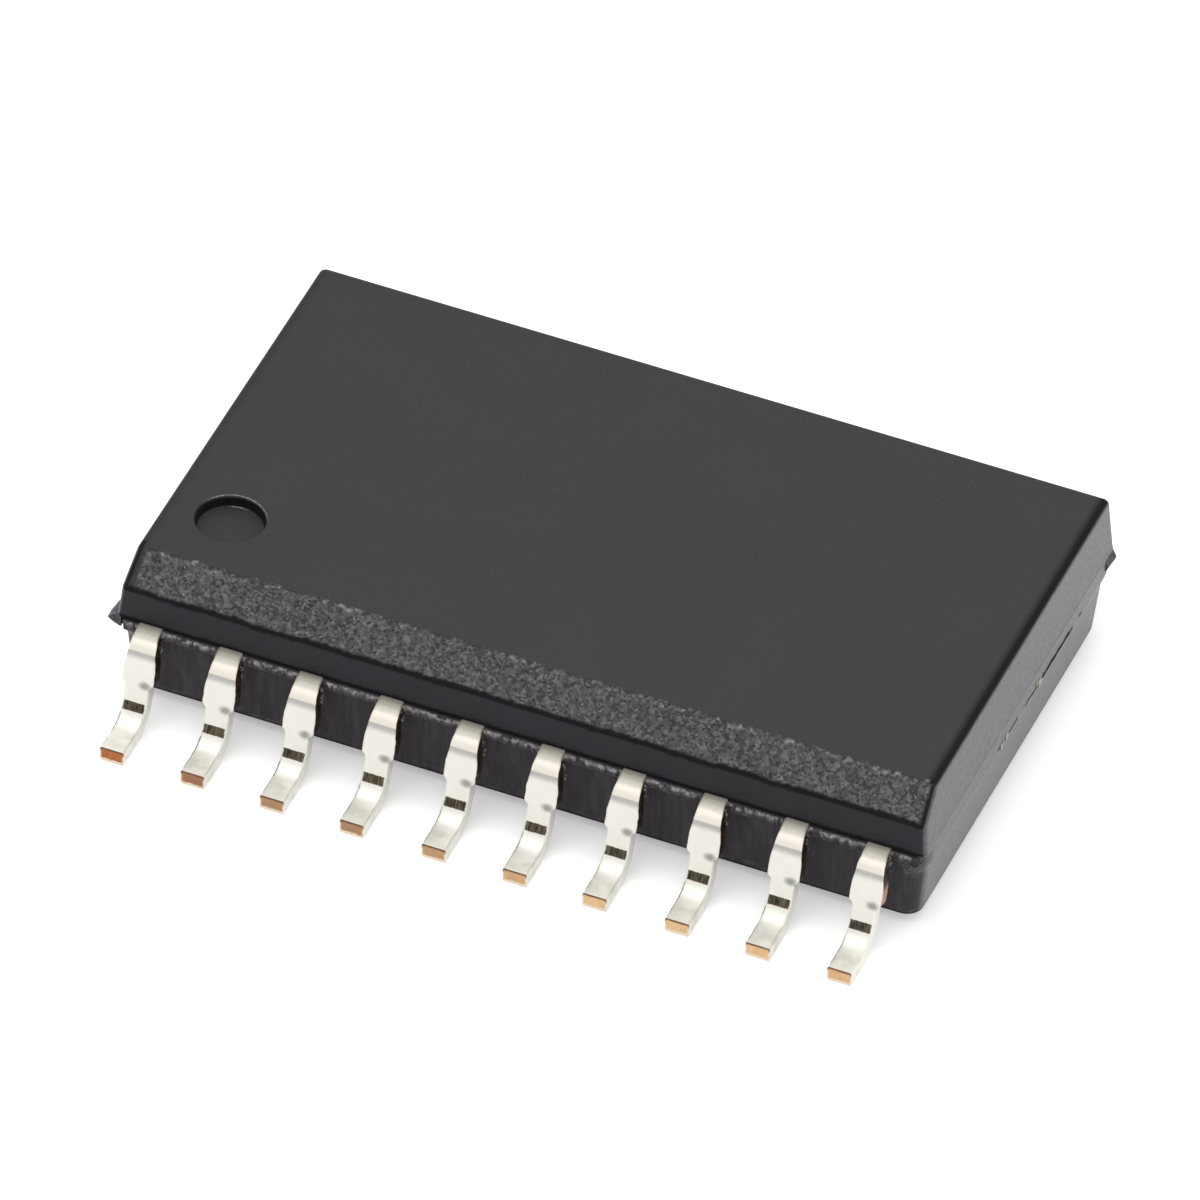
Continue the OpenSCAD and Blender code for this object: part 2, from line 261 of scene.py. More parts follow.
softbox("overhead_softbox", azimuth=-60, elevation=80, distance=0.7, size=0.42, radiance=2.2)

# %% [markdown]
# ## Floor
# The package lies on a white board. The board is plain white to the lens, to metal and to
# gloss, and a little darker to everything else, so it throws back only as much light as paint.

# %% Floor
COLOUR_MIX = {"data_type": "RGBA"}
floor_material, tree, paint = new_material("white_painted_board")
tree.nodes.remove(paint)
path = add_node(tree, "LightPath").outputs
straight = path["Is Camera Ray"]
for ray in ("Is Glossy Ray", "Is Transmission Ray"):
    straight = add_node(tree, "Math", {"operation": "MAXIMUM"}, _0=straight, _1=path[ray]).outputs[0]
grain = add_node(
    tree, "TexNoise", Scale=per_mm(0.4), Detail=3.0,
    Vector=add_node(tree, "TexCoord").outputs["Object"],
).outputs["Fac"]
tone = add_node(
    tree, "Mix", COLOUR_MIX, _0=grain, _6=linear("#fbfbfb"), _7=linear("#ffffff")
).outputs[2]
bright = add_node(tree, "BsdfDiffuse", Color=tone)
lift = add_node(tree, "Emission", Color=linear("#ffffff"), Strength=0.34)
white = add_node(tree, "AddShader", _0=bright.outputs[0], _1=lift.outputs[0])
dim = add_node(tree, "BsdfDiffuse", Color=linear("#e7e7e7"))
both = add_node(tree, "MixShader", _0=straight, _1=dim.outputs[0], _2=white.outputs[0])
tree.links.new(both.outputs[0], tree.nodes["Material Output"].inputs["Surface"])

half = 4.0
floor_mesh = bpy.data.meshes.new("floor")
corners = [(-half, -half, 0), (half, -half, 0), (half, half, 0), (-half, half, 0)]
floor_mesh.from_pydata(corners, [], [(0, 1, 2, 3)])
floor_mesh.materials.append(floor_material)
floor = bpy.data.objects.new("floor", floor_mesh)
bpy.context.scene.collection.objects.link(floor)
print("floor ready")

# %% [markdown]
# ## Black moulding compound
# The body is epoxy filled with silica, moulded in two steel halves. The steel is spark eroded,
# so the skin is matt, with pits of a few hundredths of a millimetre. Along the pin 1 edge a
# bevel was cut into the tool, and there the pits are coarse; their glitter is painted as light
# specks in the colour. The end faces were rubbed by the trim tool, so they are smoother, and
# their pale colour is partly a painted reflection of the bright room they mirror at a slant.
# One material could be given to each zone, but zones blend into each other, so one material
# reads a few numbers per point: how much bevel grain, rubbed end, side wall, pale crumb and
# painted shade shows there. The pale crumbs also carry a few painted highlights. Each finish
# is a layer, a mask and the colour that shows where the mask is 1, and the layers are laid
# over the plain skin one by one.

# %% Zones of the compound
compound, tree, shader = new_material("silica_filled_epoxy_spark_eroded_mould")
spot = add_node(tree, "TexCoord").outputs["Object"]
bevel_zone, end_zone, wall_zone, crumb_and_highlight_zone, painted_shade_zone = (
    add_node(tree, "Attribute", {"attribute_name": name}).outputs["Fac"]
    for name in ("bevel", "end", "wall", "crumb", "painted_shade")
)
print("compound reads five zones")

# %% Plain skin: cloudy near-black with a flour of silica
cloud = add_node(tree, "TexNoise", Vector=spot, Scale=per_mm(1.6), Detail=4.0).outputs["Fac"]
colour = add_node(
    tree, "Mix", COLOUR_MIX, _0=cloud, _6=linear("#2e2c2f"), _7=linear("#343235")
).outputs[2]
flour = add_node(tree, "TexNoise", Vector=spot, Scale=per_mm(0.05), Detail=2.0).outputs["Fac"]
flour = add_node(
    tree, "MapRange", Value=flour, From_Min=0.6, From_Max=0.8, To_Max=0.3
).outputs["Result"]
layers = [(flour, linear("#5a5a5c"))]
print("plain skin ready")

# %% Side walls: smooth and dark above the parting line, with faint upright smears below it
drawn = add_node(tree, "Mapping", Vector=spot, Scale=(1.0, 1.0, 0.14)).outputs[0]
smear = add_node(tree, "TexNoise", Vector=drawn, Scale=per_mm(0.11), Detail=4.0).outputs["Fac"]
smear = add_node(tree, "MapRange", Value=smear, From_Min=0.42, From_Max=0.78).outputs["Result"]
wall = add_node(
    tree, "Mix", COLOUR_MIX, _0=smear, _6=linear("#2b262d"), _7=linear("#474049")
).outputs[2]
smooth = add_node(
    tree, "Mix", COLOUR_MIX, _0=cloud, _6=linear("#15151c"), _7=linear("#1c1b24")
).outputs[2]
axes = add_node(tree, "SeparateXYZ", Vector=spot).outputs
upper_half = add_node(
    tree, "MapRange", Value=axes["Z"], From_Min=(PARTING_Z - 0.02) * MM, From_Max=PARTING_Z * MM
).outputs["Result"]
wall = add_node(tree, "Mix", COLOUR_MIX, _0=upper_half, _6=wall, _7=smooth).outputs[2]
layers.append((wall_zone, wall))
print("side walls ready")

# %% Rubbed ends: pale, with a light speckle; the pale colour is partly a painted reflection of the bright room
speck = add_node(tree, "TexNoise", Vector=spot, Scale=per_mm(0.07), Detail=5.0).outputs["Fac"]
speck = add_node(tree, "MapRange", Value=speck, From_Min=0.3, From_Max=0.75).outputs["Result"]
rubbed_end_and_painted_reflection = add_node(
    tree, "Mix", COLOUR_MIX, _0=speck, _6=linear("#515457"), _7=linear("#6b6e71")
).outputs[2]
layers.append((end_zone, rubbed_end_and_painted_reflection))
print("rubbed ends ready")

# %% Bevel: chips of silica about 0.035 mm across, their glitter painted as light specks
chips = add_node(
    tree, "TexVoronoi", {"feature": "F1"}, Vector=spot, Scale=per_mm(0.036), Randomness=1.0
)
chip_tone = add_node(tree, "SeparateColor", Color=chips.outputs["Color"]).outputs[0]
mottle = add_node(tree, "TexNoise", Vector=spot, Scale=per_mm(0.09), Detail=5.0).outputs["Fac"]
mottle = add_node(
    tree, "MapRange", Value=mottle, From_Min=0.3, From_Max=0.7, To_Min=0.25
).outputs["Result"]
painted_glint_specks = add_node(tree, "Math", {"operation": "MULTIPLY"}, _0=chip_tone, _1=mottle).outputs[0]
bevel_grain_and_glints = add_node(
    tree, "Mix", COLOUR_MIX, _0=painted_glint_specks, _6=linear("#2a292c"), _7=linear("#78787b")
).outputs[2]
layers.append((bevel_zone, bevel_grain_and_glints))
print("bevel ready")

# %% Pale crumbs of torn resin, also used for painted highlights, and painted shade in crevices
torn = add_node(
    tree, "Mix", COLOUR_MIX, _0=chip_tone, _6=linear("#6d6c68"), _7=linear("#b4b3ae")
).outputs[2]
# The crumb zone also carries painted highlights and a painted patch of light; the near-black layer is painted
# shade.
layers += [(crumb_and_highlight_zone, torn), (painted_shade_zone, linear("#0b090c"))]
print("crumbs and crevices ready")


# %% Cracks along the ends, where the resin skin of the tie bars has broken
def window(tree, value, start, end, soft):
    """A mask: 1 between start and end, 0 outside, with soft edges."""
    rise = add_node(
        tree, "MapRange", Value=value, From_Min=start - soft, From_Max=start + soft
    ).outputs["Result"]
    fall = add_node(
        tree, "MapRange", Value=value, From_Min=end + soft, From_Max=end - soft
    ).outputs["Result"]
    return add_node(tree, "Math", {"operation": "MULTIPLY"}, _0=rise, _1=fall).outputs[0]


shake = add_node(tree, "TexNoise", Vector=spot, Scale=per_mm(0.22), Detail=6.0).outputs["Fac"]
shaken = add_node(
    tree, "Math", {"operation": "MULTIPLY_ADD"}, _0=shake, _1=0.10 * MM, _2=axes["Z"]
).outputs[0]
breaks = add_node(tree, "TexNoise", Vector=spot, Scale=per_mm(0.34), Detail=3.0).outputs["Fac"]
breaks = add_node(tree, "MapRange", Value=breaks, From_Min=0.43, From_Max=0.49).outputs["Result"]
# Each crack, in mm: its lower and upper edge in the shaken height, which is about 0.05 more than
# the true height, its softness, and where it starts and ends across the face.
CRACKS = ((1.308, 1.392, 0.008, 0.85, 2.4), (1.325, 1.363, 0.006, -1.3, 0.8))
wide_crack, thin_crack = (
    add_node(
        tree, "Math", {"operation": "MULTIPLY"},
        _0=window(tree, shaken, low * MM, high * MM, soft * MM),
        _1=window(tree, axes["Y"], start * MM, end * MM, 0.05 * MM),
    ).outputs[0]
    for low, high, soft, start, end in CRACKS
)
cracks = add_node(tree, "Math", {"operation": "ADD"}, _0=wide_crack, _1=thin_crack).outputs[0]
for mask in (breaks, end_zone):
    cracks = add_node(tree, "Math", {"operation": "MULTIPLY"}, _0=cracks, _1=mask).outputs[0]
layers.append((cracks, linear("#070606")))
print("cracks ready")

# %% Lay the layers over the plain skin
for mask, over in layers:
    colour = add_node(tree, "Mix", COLOUR_MIX, _0=mask, _6=colour, _7=over).outputs[2]
tree.links.new(colour, shader.inputs["Base Color"])
print(len(layers), "layers over the skin")

# %% Gloss and pits of the compound
fine = add_node(tree, "TexNoise", Vector=spot, Scale=per_mm(0.03), Detail=3.0).outputs["Fac"]
matt = add_node(tree, "MapRange", Value=fine, To_Min=0.45, To_Max=0.62).outputs["Result"]
sleek = add_node(tree, "MapRange", Value=fine, To_Min=0.3, To_Max=0.42).outputs["Result"]
roughness = add_node(
    tree, "Mix", {"data_type": "FLOAT"}, Factor=end_zone, A=matt, B=sleek
).outputs["Result"]
for mask in (cracks, painted_shade_zone):
    roughness = add_node(
        tree, "Mix", {"data_type": "FLOAT"}, Factor=mask, A=roughness, B=1.0
    ).outputs["Result"]
tree.links.new(roughness, shader.inputs["Roughness"])
pits = add_node(tree, "Bump", Height=fine, Strength=0.12, Distance=0.004 * MM).outputs["Normal"]
tree.links.new(pits, shader.inputs["Normal"])
shader.inputs["IOR"].default_value = 1.5
shader.inputs["Specular IOR Level"].default_value = 0.27
print("moulding compound ready")

# %% [markdown]
# ## The moulded body
# The body could be a bevelled box with a subdivision modifier, but its four sides differ: one
# long edge has the bevel, the lower half stands in a little, and the walls taper away from the
# parting line. So it is lofted: level rings, one above the other, each with the same number of
# points, joined by quads. Small inward moves of the points then make the grain.

# %% Rings of the body
FRONT_POINTS, END_POINTS, BACK_POINTS, CORNER_POINTS = 560, 110, 90, 7


def ring(half_x, front, back_y, radius, z):
    """Points of one level outline, counterclockwise from the front left."""
    points = []
    sides = (
        ((radius - half_x, -front), (half_x - radius, -front), FRONT_POINTS, -90),
        ((half_x, radius - front), (half_x, back_y - radius), END_POINTS, 0),
        ((half_x - radius, back_y), (radius - half_x, back_y), BACK_POINTS, 90),
        ((-half_x, back_y - radius), (-half_x, radius - front), END_POINTS, 180),
    )
    for (x0, y0), (x1, y1), count, facing in sides:
        for i in range(count):
            t = i / (count - 1)
            points.append((x0 + (x1 - x0) * t, y0 + (y1 - y0) * t, z))
        out = math.radians(facing)
        cx, cy = x1 - radius * math.cos(out), y1 - radius * math.sin(out)
        for i in range(1, CORNER_POINTS + 1):
            angle = math.radians(facing + 90 * i / (CORNER_POINTS + 1))
            points.append((cx + radius * math.cos(angle), cy + radius * math.sin(angle), z))
    return points


def lower_rings():
    """Outlines from the underside to the parting line, each with its kind."""
    rings = []
    base_round = 0.05

    def add(z, inset, half_x=None):
        taper = (PARTING_Z - z) * DRAFT
        side = HALF_WIDTH - LOWER_SIDE_INSET - taper - inset
        half_x = half_x or HALF_LENGTH - LOWER_END_INSET - taper - inset
        rings.append(("lower", ring(half_x, side, side, LOWER_CORNER, z)))

    for angle in range(0, 91, 15):
        a = math.radians(angle)
        add(BASE_Z + base_round * (1 - math.cos(a)), base_round * (1 - math.sin(a)))
    for z in np.linspace(BASE_Z + 0.08, STRIP_Z - 0.02, 20):
        wall_x = HALF_LENGTH - LOWER_END_INSET - (PARTING_Z - z) * DRAFT
        cover = ease(z, STRIP_Z - 0.22, STRIP_Z - 0.02)
        add(z, 0, wall_x + (HALF_LENGTH + TIE_COVER - wall_x) * cover)
    for z in np.linspace(STRIP_Z - 0.005, PARTING_Z - 0.01, 9):
        add(z, 0, HALF_LENGTH + TIE_COVER)
    return rings


def upper_rings():
    """Outlines from the parting line to the top face, each with its kind."""
    rings = []
    lip = 0.02

    def add(z, inset, front_inset, kind):
        half_x = HALF_LENGTH + TIE_COVER if kind == "lip" else HALF_LENGTH - inset
        outline = ring(half_x, HALF_WIDTH - front_inset, HALF_WIDTH - inset, UPPER_CORNER, z)
        rings.append((kind, outline))

    for angle in range(0, 91, 30):
        a = math.radians(angle)
        inset = lip * (1 - math.sin(a))
        add(PARTING_Z + lip * (1 - math.cos(a)), inset, inset, "lip")
    for z in np.linspace(PARTING_Z + 0.035, CREASE_Z - 0.01, 18):
        inset = (z - PARTING_Z) * DRAFT
        add(z, inset, inset, "upper")
    crease_inset = (CREASE_Z - PARTING_Z) * DRAFT
    for t in np.linspace(0, 1, 26):
        z = CREASE_Z + (BEVEL_DROP - TOP_ROUND) * t
        inset = (z - PARTING_Z) * DRAFT
        add(z, inset, crease_inset + BEVEL_RUN * (z - CREASE_Z) / BEVEL_DROP, "bevel")
    for angle in np.linspace(10, 90, 9):
        a = math.radians(angle)
        z = TOP_Z - TOP_ROUND * (1 - math.sin(a))
        inset = (z - PARTING_Z) * DRAFT + TOP_ROUND * (1 - math.cos(a))
        add(z, inset, crease_inset + BEVEL_RUN * (z - CREASE_Z) / BEVEL_DROP, "bevel")
    for more in (0.03, 0.07, 0.12, 0.18, 0.25):
        last = (TOP_Z - PARTING_Z) * DRAFT + TOP_ROUND
        add(TOP_Z, last + more, crease_inset + BEVEL_RUN + more, "top")
    return rings


rings = lower_rings() + upper_rings()
print(len(rings), "rings of", len(rings[0][1]), "points")

# %% [markdown]
# Points on the bevel now move inward, by up to about a hundredth of a millimetre. The walls
# stay plain, because their grain is too fine for points and is left to the material. The same
# loop works out the zone numbers that the material reads.


# %% Grain and zones of the body
ZONES = ("bevel", "end", "wall", "crumb", "painted_shade")
BEVEL_INWARD, GRAIN_DEPTH = Vector((0, 0.654, -0.756)), 0.012


def bevel_grain(x, y, z):
    """Share of bevel grain here: all of the bevel but its ends, with ragged borders."""
    edge = ripple(x, 0, 0, 0.16, 3.1) * 0.08 + ripple(x, 0, 0, 0.05, 7.7) * 0.06
    along = (z - CREASE_Z) / BEVEL_DROP
    start = ease(along, 0.03 + edge, 0.12 + edge)
    finish = 1 - ease(along, 0.96 + edge, 1.01 + edge)
    left = ease(x, 0.2 - HALF_LENGTH + edge, 0.3 - HALF_LENGTH + edge)
    right = 1 - ease(x, HALF_LENGTH - 0.17 + edge, HALF_LENGTH - 0.12 + edge)
    return start * finish * left * right


def body_point(kind, x, y, z):
    """Moved point and its zones."""
    zones = dict.fromkeys(ZONES, 0.0)
    move = Vector((0, 0, 0))
    on_front = ease(-y, HALF_WIDTH - 0.7, HALF_WIDTH - 0.62)
    end_distance = HALF_LENGTH - (z - PARTING_Z) * DRAFT - abs(x)
    if z < PARTING_Z:
        end_distance = HALF_LENGTH - LOWER_END_INSET - (PARTING_Z - z) * DRAFT - abs(x)
    corner = UPPER_CORNER if z >= PARTING_Z else LOWER_CORNER
    zones["end"] = 1 - ease(end_distance, 0.2 * corner, 0.6 * corner)
    if z < PARTING_Z:
        zones["end"] = 1 - ease(end_distance, 0.012, 0.05)
    ragged = ripple(x, y, 0, 0.3, 2.2) * 0.012 + ripple(x, y, 0, 0.07, 4.4) * 0.007
    # Painted shade at the ends is full at the right end and a quarter at the left.
    end_shade_share = 1.0 if x > 0 else 0.25

    if kind == "bevel":
        if on_front:
            share = bevel_grain(x, y, z)
            rough = ripple(x, y, z, 0.045, 1.3) * 0.6 + ripple(x, y, z, 0.1, 5.9) * 0.5
            move = BEVEL_INWARD * (0.5 + 0.5 * rough) * GRAIN_DEPTH * share
            zones["bevel"] = share
            # Pale crumbs along the top of the bevel, partly painted glints.
            upper_edge = ease(z, TOP_Z - 0.07, TOP_Z - 0.03)
            zones["crumb"] = 0.55 * share * upper_edge * ease(ripple(x, y, z, 0.08, 9.2), 0.1, 0.5)
            # Painted shade in a line near each end of the bevel.
            zones["painted_shade"] = 0.85 * (1 - ease(abs(end_distance - 0.06), 0.02, 0.045))
        # Painted shade along the top edge over the ends, strong at the right end and faint at the left.
        height = ease(z, TOP_Z - 0.055, TOP_Z - 0.015)
        zones["end"] *= 1 - height
        at_end = 1 - ease(end_distance, 0.1, 0.14)
        zones["painted_shade"] = max(zones["painted_shade"], 0.9 * end_shade_share * height * at_end)
    if kind == "top":
        zones["end"] = 0.0
        # Painted shade on the top face next to the ends, strong at the right end.
        zones["painted_shade"] = 0.8 * end_shade_share * (1 - ease(end_distance, 0.07, TOP_ROUND + 0.12))
    # Painted shade along the crease under the bevel.
    if kind in ("bevel", "upper") and on_front:
        near = abs(z - CREASE_Z - 0.006 - 2 * ragged)
        line = 0.92 * (1 - ease(near, 0.022, 0.046)) * (1 - zones["end"])
        zones["painted_shade"] = max(zones["painted_shade"], line)
    if kind in ("upper", "lip"):
        zones["wall"] = 0.9 * (1 - zones["end"])
        # Painted shade along the lip of the parting line, where the upper half overhangs.
        line = 0.97 * (1 - ease(z - PARTING_Z, 0.045 + ragged, 0.07 + ragged))
        zones["painted_shade"] = max(zones["painted_shade"], line * (1 - zones["end"]))
        zones["crumb"] = 0.35 * zones["end"] * (1 - ease(z - PARTING_Z, 0.012, 0.03))
    if kind == "lower":
        zones["wall"] = 1 - zones["end"]
        # Painted shade along the rounded foot of the lower wall.
        foot = 0.8 * (1 - ease(z - BASE_Z, 0.045 + ragged, 0.075 + ragged))
        zones["painted_shade"] = foot * (1 - 0.5 * zones["end"])
        zones["crumb"] = 0.22 * (1 - zones["end"]) * (1 - ease(abs(z - BASE_Z - 0.105 - ragged), 0.012, 0.03))
        # Near the ends the lower front wall takes the bevel grain with its painted glints; near the left end
        # a painted patch of light is added, for light from the left.
        if y < 0:
            crumbly = (1 - ease(HALF_LENGTH - abs(x), 0.3, 0.45)) * ease(z, 0.9, 1.15)
            zones["bevel"] = 0.8 * crumbly * (1 - zones["end"])
            if x < 0:
                painted_light_patch = ease(ripple(x, y, z, 0.05, 8.8), -0.3, 0.2) * (1 - zones["end"])
                zones["crumb"] += 0.5 * crumbly * painted_light_patch
    return Vector((x, y, z)) + move, zones


points, zone_values = [], []
for kind, outline in rings:
    for x, y, z in outline:
        moved, zones = body_point(kind, x, y, z)
        points.append(moved)
        zone_values.append(zones)
print(len(points), "points on the walls")


# %% Close the body and sink the pin 1 mark
def loft_faces(start, count, rings):
    """Quads between rings of points: the first ring starts at this index, each has this count."""
    faces = []
    for low in range(start, start + (rings - 1) * count, count):
        for i in range(count):
            j = (i + 1) % count
            faces.append((low + i, low + j, low + count + j, low + count + i))
    return faces


ring_points = len(rings[0][1])
faces = loft_faces(0, ring_points, len(rings))
faces.append(tuple(range(ring_points - 1, -1, -1)))

MARK_POINTS = 120


def mark_rings():
    """Radius and height of the rings of the pin 1 recess, from the top face to its floor."""
    r, depth, soft = MARK["radius"], MARK["depth"], 0.018
    profile = [(r + soft + 0.02, 0.0)]
    for angle in range(0, 91, 15):
        a = math.radians(angle)
        profile.append((r + soft - soft * math.sin(a), -soft * (1 - math.cos(a))))
    for t in (0.3, 0.6, 0.85):
        profile.append((r - 0.03 * t, -soft - (depth - 2 * soft) * t))
    for angle in range(0, 91, 15):
        a = math.radians(angle)
        profile.append((r - 0.035 - soft * (1 - math.cos(a)), -depth + soft * (1 - math.sin(a))))
    for t in (0.85, 0.65, 0.45, 0.25, 0.1):
        profile.append((r * t, -depth - 0.004 * (1 - t)))
    return profile


first_mark = len(points)
profile = mark_rings()
plain = dict.fromkeys(ZONES, 0.0)
for radius, drop in profile:
    on_wall = ease(-drop, 0.018, 0.04) * (1 - ease(-drop, 0.168, 0.18))
    on_rim = ease(-drop, 0.0, 0.003) * (1 - ease(-drop, 0.012, 0.022))
    on_seam = ease(-drop, 0.174, 0.179) * ease(radius, MARK["radius"] * 0.86, MARK["radius"] * 0.93)
    for i in range(MARK_POINTS):
        a = 2 * math.pi * i / MARK_POINTS
        x, y = MARK["x"] + radius * math.cos(a), MARK["y"] + radius * math.sin(a)
        points.append(Vector((x, y, TOP_Z + drop)))
        # Painted highlights, carried by the crumb zone: a light arc on the far rim and a light spot at the
        # back edge of the floor. The wall of the recess gets painted shade.
        far = ease(math.sin(a), 0.2, 0.8)
        painted_highlight = far * on_rim * 0.75 + on_seam * 0.7 * (1 - ease(abs(a - 1.7), 0.1, 0.4))
        zone_values.append(plain | {"painted_shade": 0.97 * on_wall, "crumb": painted_highlight})
points.append(Vector((MARK["x"], MARK["y"], TOP_Z + profile[-1][1])))
zone_values.append(plain)
faces += loft_faces(first_mark, MARK_POINTS, len(profile))
last = first_mark + (len(profile) - 1) * MARK_POINTS
faces += [(last + i, last + (i + 1) % MARK_POINTS, len(points) - 1) for i in range(MARK_POINTS)]

body = make_piece("moulded_body", points, faces, [compound], ["body"])
for zone in ZONES:
    store(body, zone, [values[zone] for values in zone_values])

# %% Fill the top face round the mark
shell = bmesh.new()
shell.from_mesh(body.data)
open_edges = [e for e in shell.edges if e.is_boundary]
made = bmesh.ops.triangle_fill(shell, use_beauty=True, use_dissolve=False, edges=open_edges, normal=(0, 0, 1))
cap = [f for f in made["geom"] if isinstance(f, bmesh.types.BMFace)]
for face in cap:
    if face.normal.z < 0:
        face.normal_flip()
print("open edges", len(open_edges), "cap faces", len(cap))
shell.to_mesh(body.data)
shell.free()
smooth_shade(body, 32)
for face in body.data.polygons:
    if abs(face.normal.z) > 0.9999 and len(face.vertices) != 4:
        face.use_smooth = False
triangles = sum(len(p.vertices) - 2 for p in body.data.polygons)
print("body closed,", triangles, "triangles")

# %% [markdown]
# ## Resin flash
# Resin squeezes out between the two halves of the tool and fills the gaps of the lead frame up
# to the dam bars. When the bars are cut away a thin web with a torn edge stays behind between
# every two leads, and crumbs stick to the sides of the leads. A web could be a box with a noise
# texture, but the torn edge is its outline, so it is lofted from profiles that change along it.

# %% Loft of closed profiles
SHORTEST_WEB, LONGEST_WEB = 0.012, 0.098
flash_points, flash_faces, flash_zones = [], [], []
print(f"webs reach {SHORTEST_WEB} to {LONGEST_WEB} mm out")


def shell_faces(start, count, rings):
    """Faces of a closed shell: a loft, with a cap on its first and its last ring."""
    last = start + (rings - 1) * count
    caps = [tuple(range(first, first + count)) for first in (start, last)]
    return loft_faces(start, count, rings) + caps


def add_shell(outlines, zones_at):
    """Adds a closed shell over outlines of equal length to the flash."""
    flash_faces.extend(shell_faces(len(flash_points), len(outlines[0]), len(outlines)))
    for outline in outlines:
        for point in outline:
            flash_points.append(Vector(point))
            flash_zones.append(plain | zones_at(*point))


def web(x0, x1, side, reach_at):
    """Web of resin from x0 to x1 along the front (side -1) or the back (side 1)."""
    outlines = []
    steps = max(int((x1 - x0) / 0.018), 8)
    for k in range(steps + 1):
        x = x0 + (x1 - x0) * k / steps
        torn = 0.72 + 0.5 * ripple(x, side, 0, 0.07, 6.1) + 0.35 * ripple(x, side, 0, 0.025, 8.3)
        reach = min(max(reach_at(k / steps) * torn, SHORTEST_WEB), LONGEST_WEB)
        crest = 0.012 * ripple(x, side, 0, 0.04, 2.9)
        profile = (
            (-0.05, -0.004), (0.0, -0.006), (0.35 * reach, -0.022), (0.7 * reach, -0.034),
            (0.92 * reach, -0.036 + crest), (reach, -0.052 + crest), (0.93 * reach, -0.075),
            (0.8 * reach, -0.12), (0.5 * reach, -0.17), (0.0, -0.22), (-LOWER_SIDE_INSET - 0.04, -STRIP),
        )
        outlines.append([(x, side * (HALF_WIDTH + out), PARTING_Z + drop) for out, drop in profile])

    def zones_at(x, y, z):
        out, drop = abs(y) - HALF_WIDTH, PARTING_Z - z
        on_edge = ease(out, 0.012, 0.035) * (1 - ease(drop, 0.06, 0.09)) * ease(drop, 0.022, 0.034)
        broken = ease(ripple(x, y, z, 0.06, 1.9) + 0.5 * ripple(x, 0, 0, 0.2, 5.2), -0.5, 0.1)
        low = ease(drop, 0.1, 0.14) * ease(ripple(x, y, z, 0.05, 3.3), 0.2, 0.45)
        return {
            "crumb": max(0.85 * on_edge * broken, 0.3 * low), "wall": 1.0,
            # Painted shade where the web meets the wall.
            "painted_shade": 0.7 * (1 - ease(out, -0.005, 0.03)),
        }

    add_shell(outlines, zones_at)


# %% Webs between the leads, and stubs of web out to the corners
half_exit = EXIT_WIDTH / 2
OVERLAP, CORNER_GAP = 0.004, 0.12
for side in (-1, 1):
    for gap in range(ROW_PINS - 1):
        left = (gap - HALF_ROW) * PITCH + ROW_X + half_exit - OVERLAP
        web(left, left + PITCH - EXIT_WIDTH + 2 * OVERLAP, side, lambda t: FLASH_REACH)
    first_x, last_x = -HALF_ROW * PITCH + ROW_X - half_exit, HALF_ROW * PITCH + ROW_X + half_exit
    web(CORNER_GAP - HALF_LENGTH, first_x + OVERLAP, side, lambda t: 0.035 + 0.045 * t)
    web(last_x - OVERLAP, HALF_LENGTH - CORNER_GAP, side, lambda t: 0.08 - 0.05 * t)
print(len(flash_points), "points of web")


# %% Wedges of flash at the two opposite corners
def corner_wedge(turn, length, tip):
    """Flash on an end face beside pin 1 (turn 1) or beside pin 11 (turn -1)."""
    outlines = []
    steps = 24
    for k in range(steps + 1):
        y = -HALF_WIDTH + LOWER_SIDE_INSET + 0.002 + (length - 0.004) * k / steps
        reach = tip * (0.93 + 0.07 * ripple(0, y, turn, 0.09, 3.7)) * (1 - 0.4 * (k / steps) ** 2)
        profile = (
            (-0.05, -0.004), (0.01, -0.01), (0.3 * reach, -0.04), (0.65 * reach, -0.08),
            (0.9 * reach, -0.11), (reach, -0.125), (0.9 * reach, -0.14), (0.65 * reach, -0.17),
            (0.3 * reach, -0.205), (-0.05, -0.245),
        )
        outline = []
        for out, drop in profile:
            wavy = y + 0.006 * ripple(out, y, drop, 0.05, 1.1)
            outline.append((-turn * (HALF_LENGTH + out), turn * wavy, PARTING_Z + drop))
        outlines.append(outline)

    def zones_at(x, y, z):
        grit = ease(ripple(x, y, z, 0.045, 7.1), -0.1, 0.35)
        edge = ease(abs(x) - HALF_LENGTH, 0.1, 0.17)
        return {"crumb": 0.05 + 0.2 * grit + 0.35 * edge, "wall": 0.8}

    add_shell(outlines, zones_at)


corner_wedge(1, 0.75, 0.178)
corner_wedge(-1, 0.3, 0.068)
print("two corner wedges")


# %% Crumbs on the sides of the leads
def crumb(centre, size, rng, olive):
    """A torn grain of resin: a rough little lump."""
    rows = []
    stretch = Vector((rng.uniform(0.6, 1.1), rng.uniform(0.6, 1.2), rng.uniform(0.7, 1.4))) * size / 2
    for k in range(1, 5):
        polar = math.pi * k / 5
        rows.append([
            Vector(centre) + Vector((
                stretch.x * math.sin(polar) * math.cos(a), stretch.y * math.sin(polar) * math.sin(a),
                stretch.z * math.cos(polar),
            )) * rng.uniform(0.72, 1.15)
            for a in (2 * math.pi * i / 7 for i in range(7))
        ])
    add_shell(rows, lambda x, y, z: {"crumb": olive, "wall": 1.0})


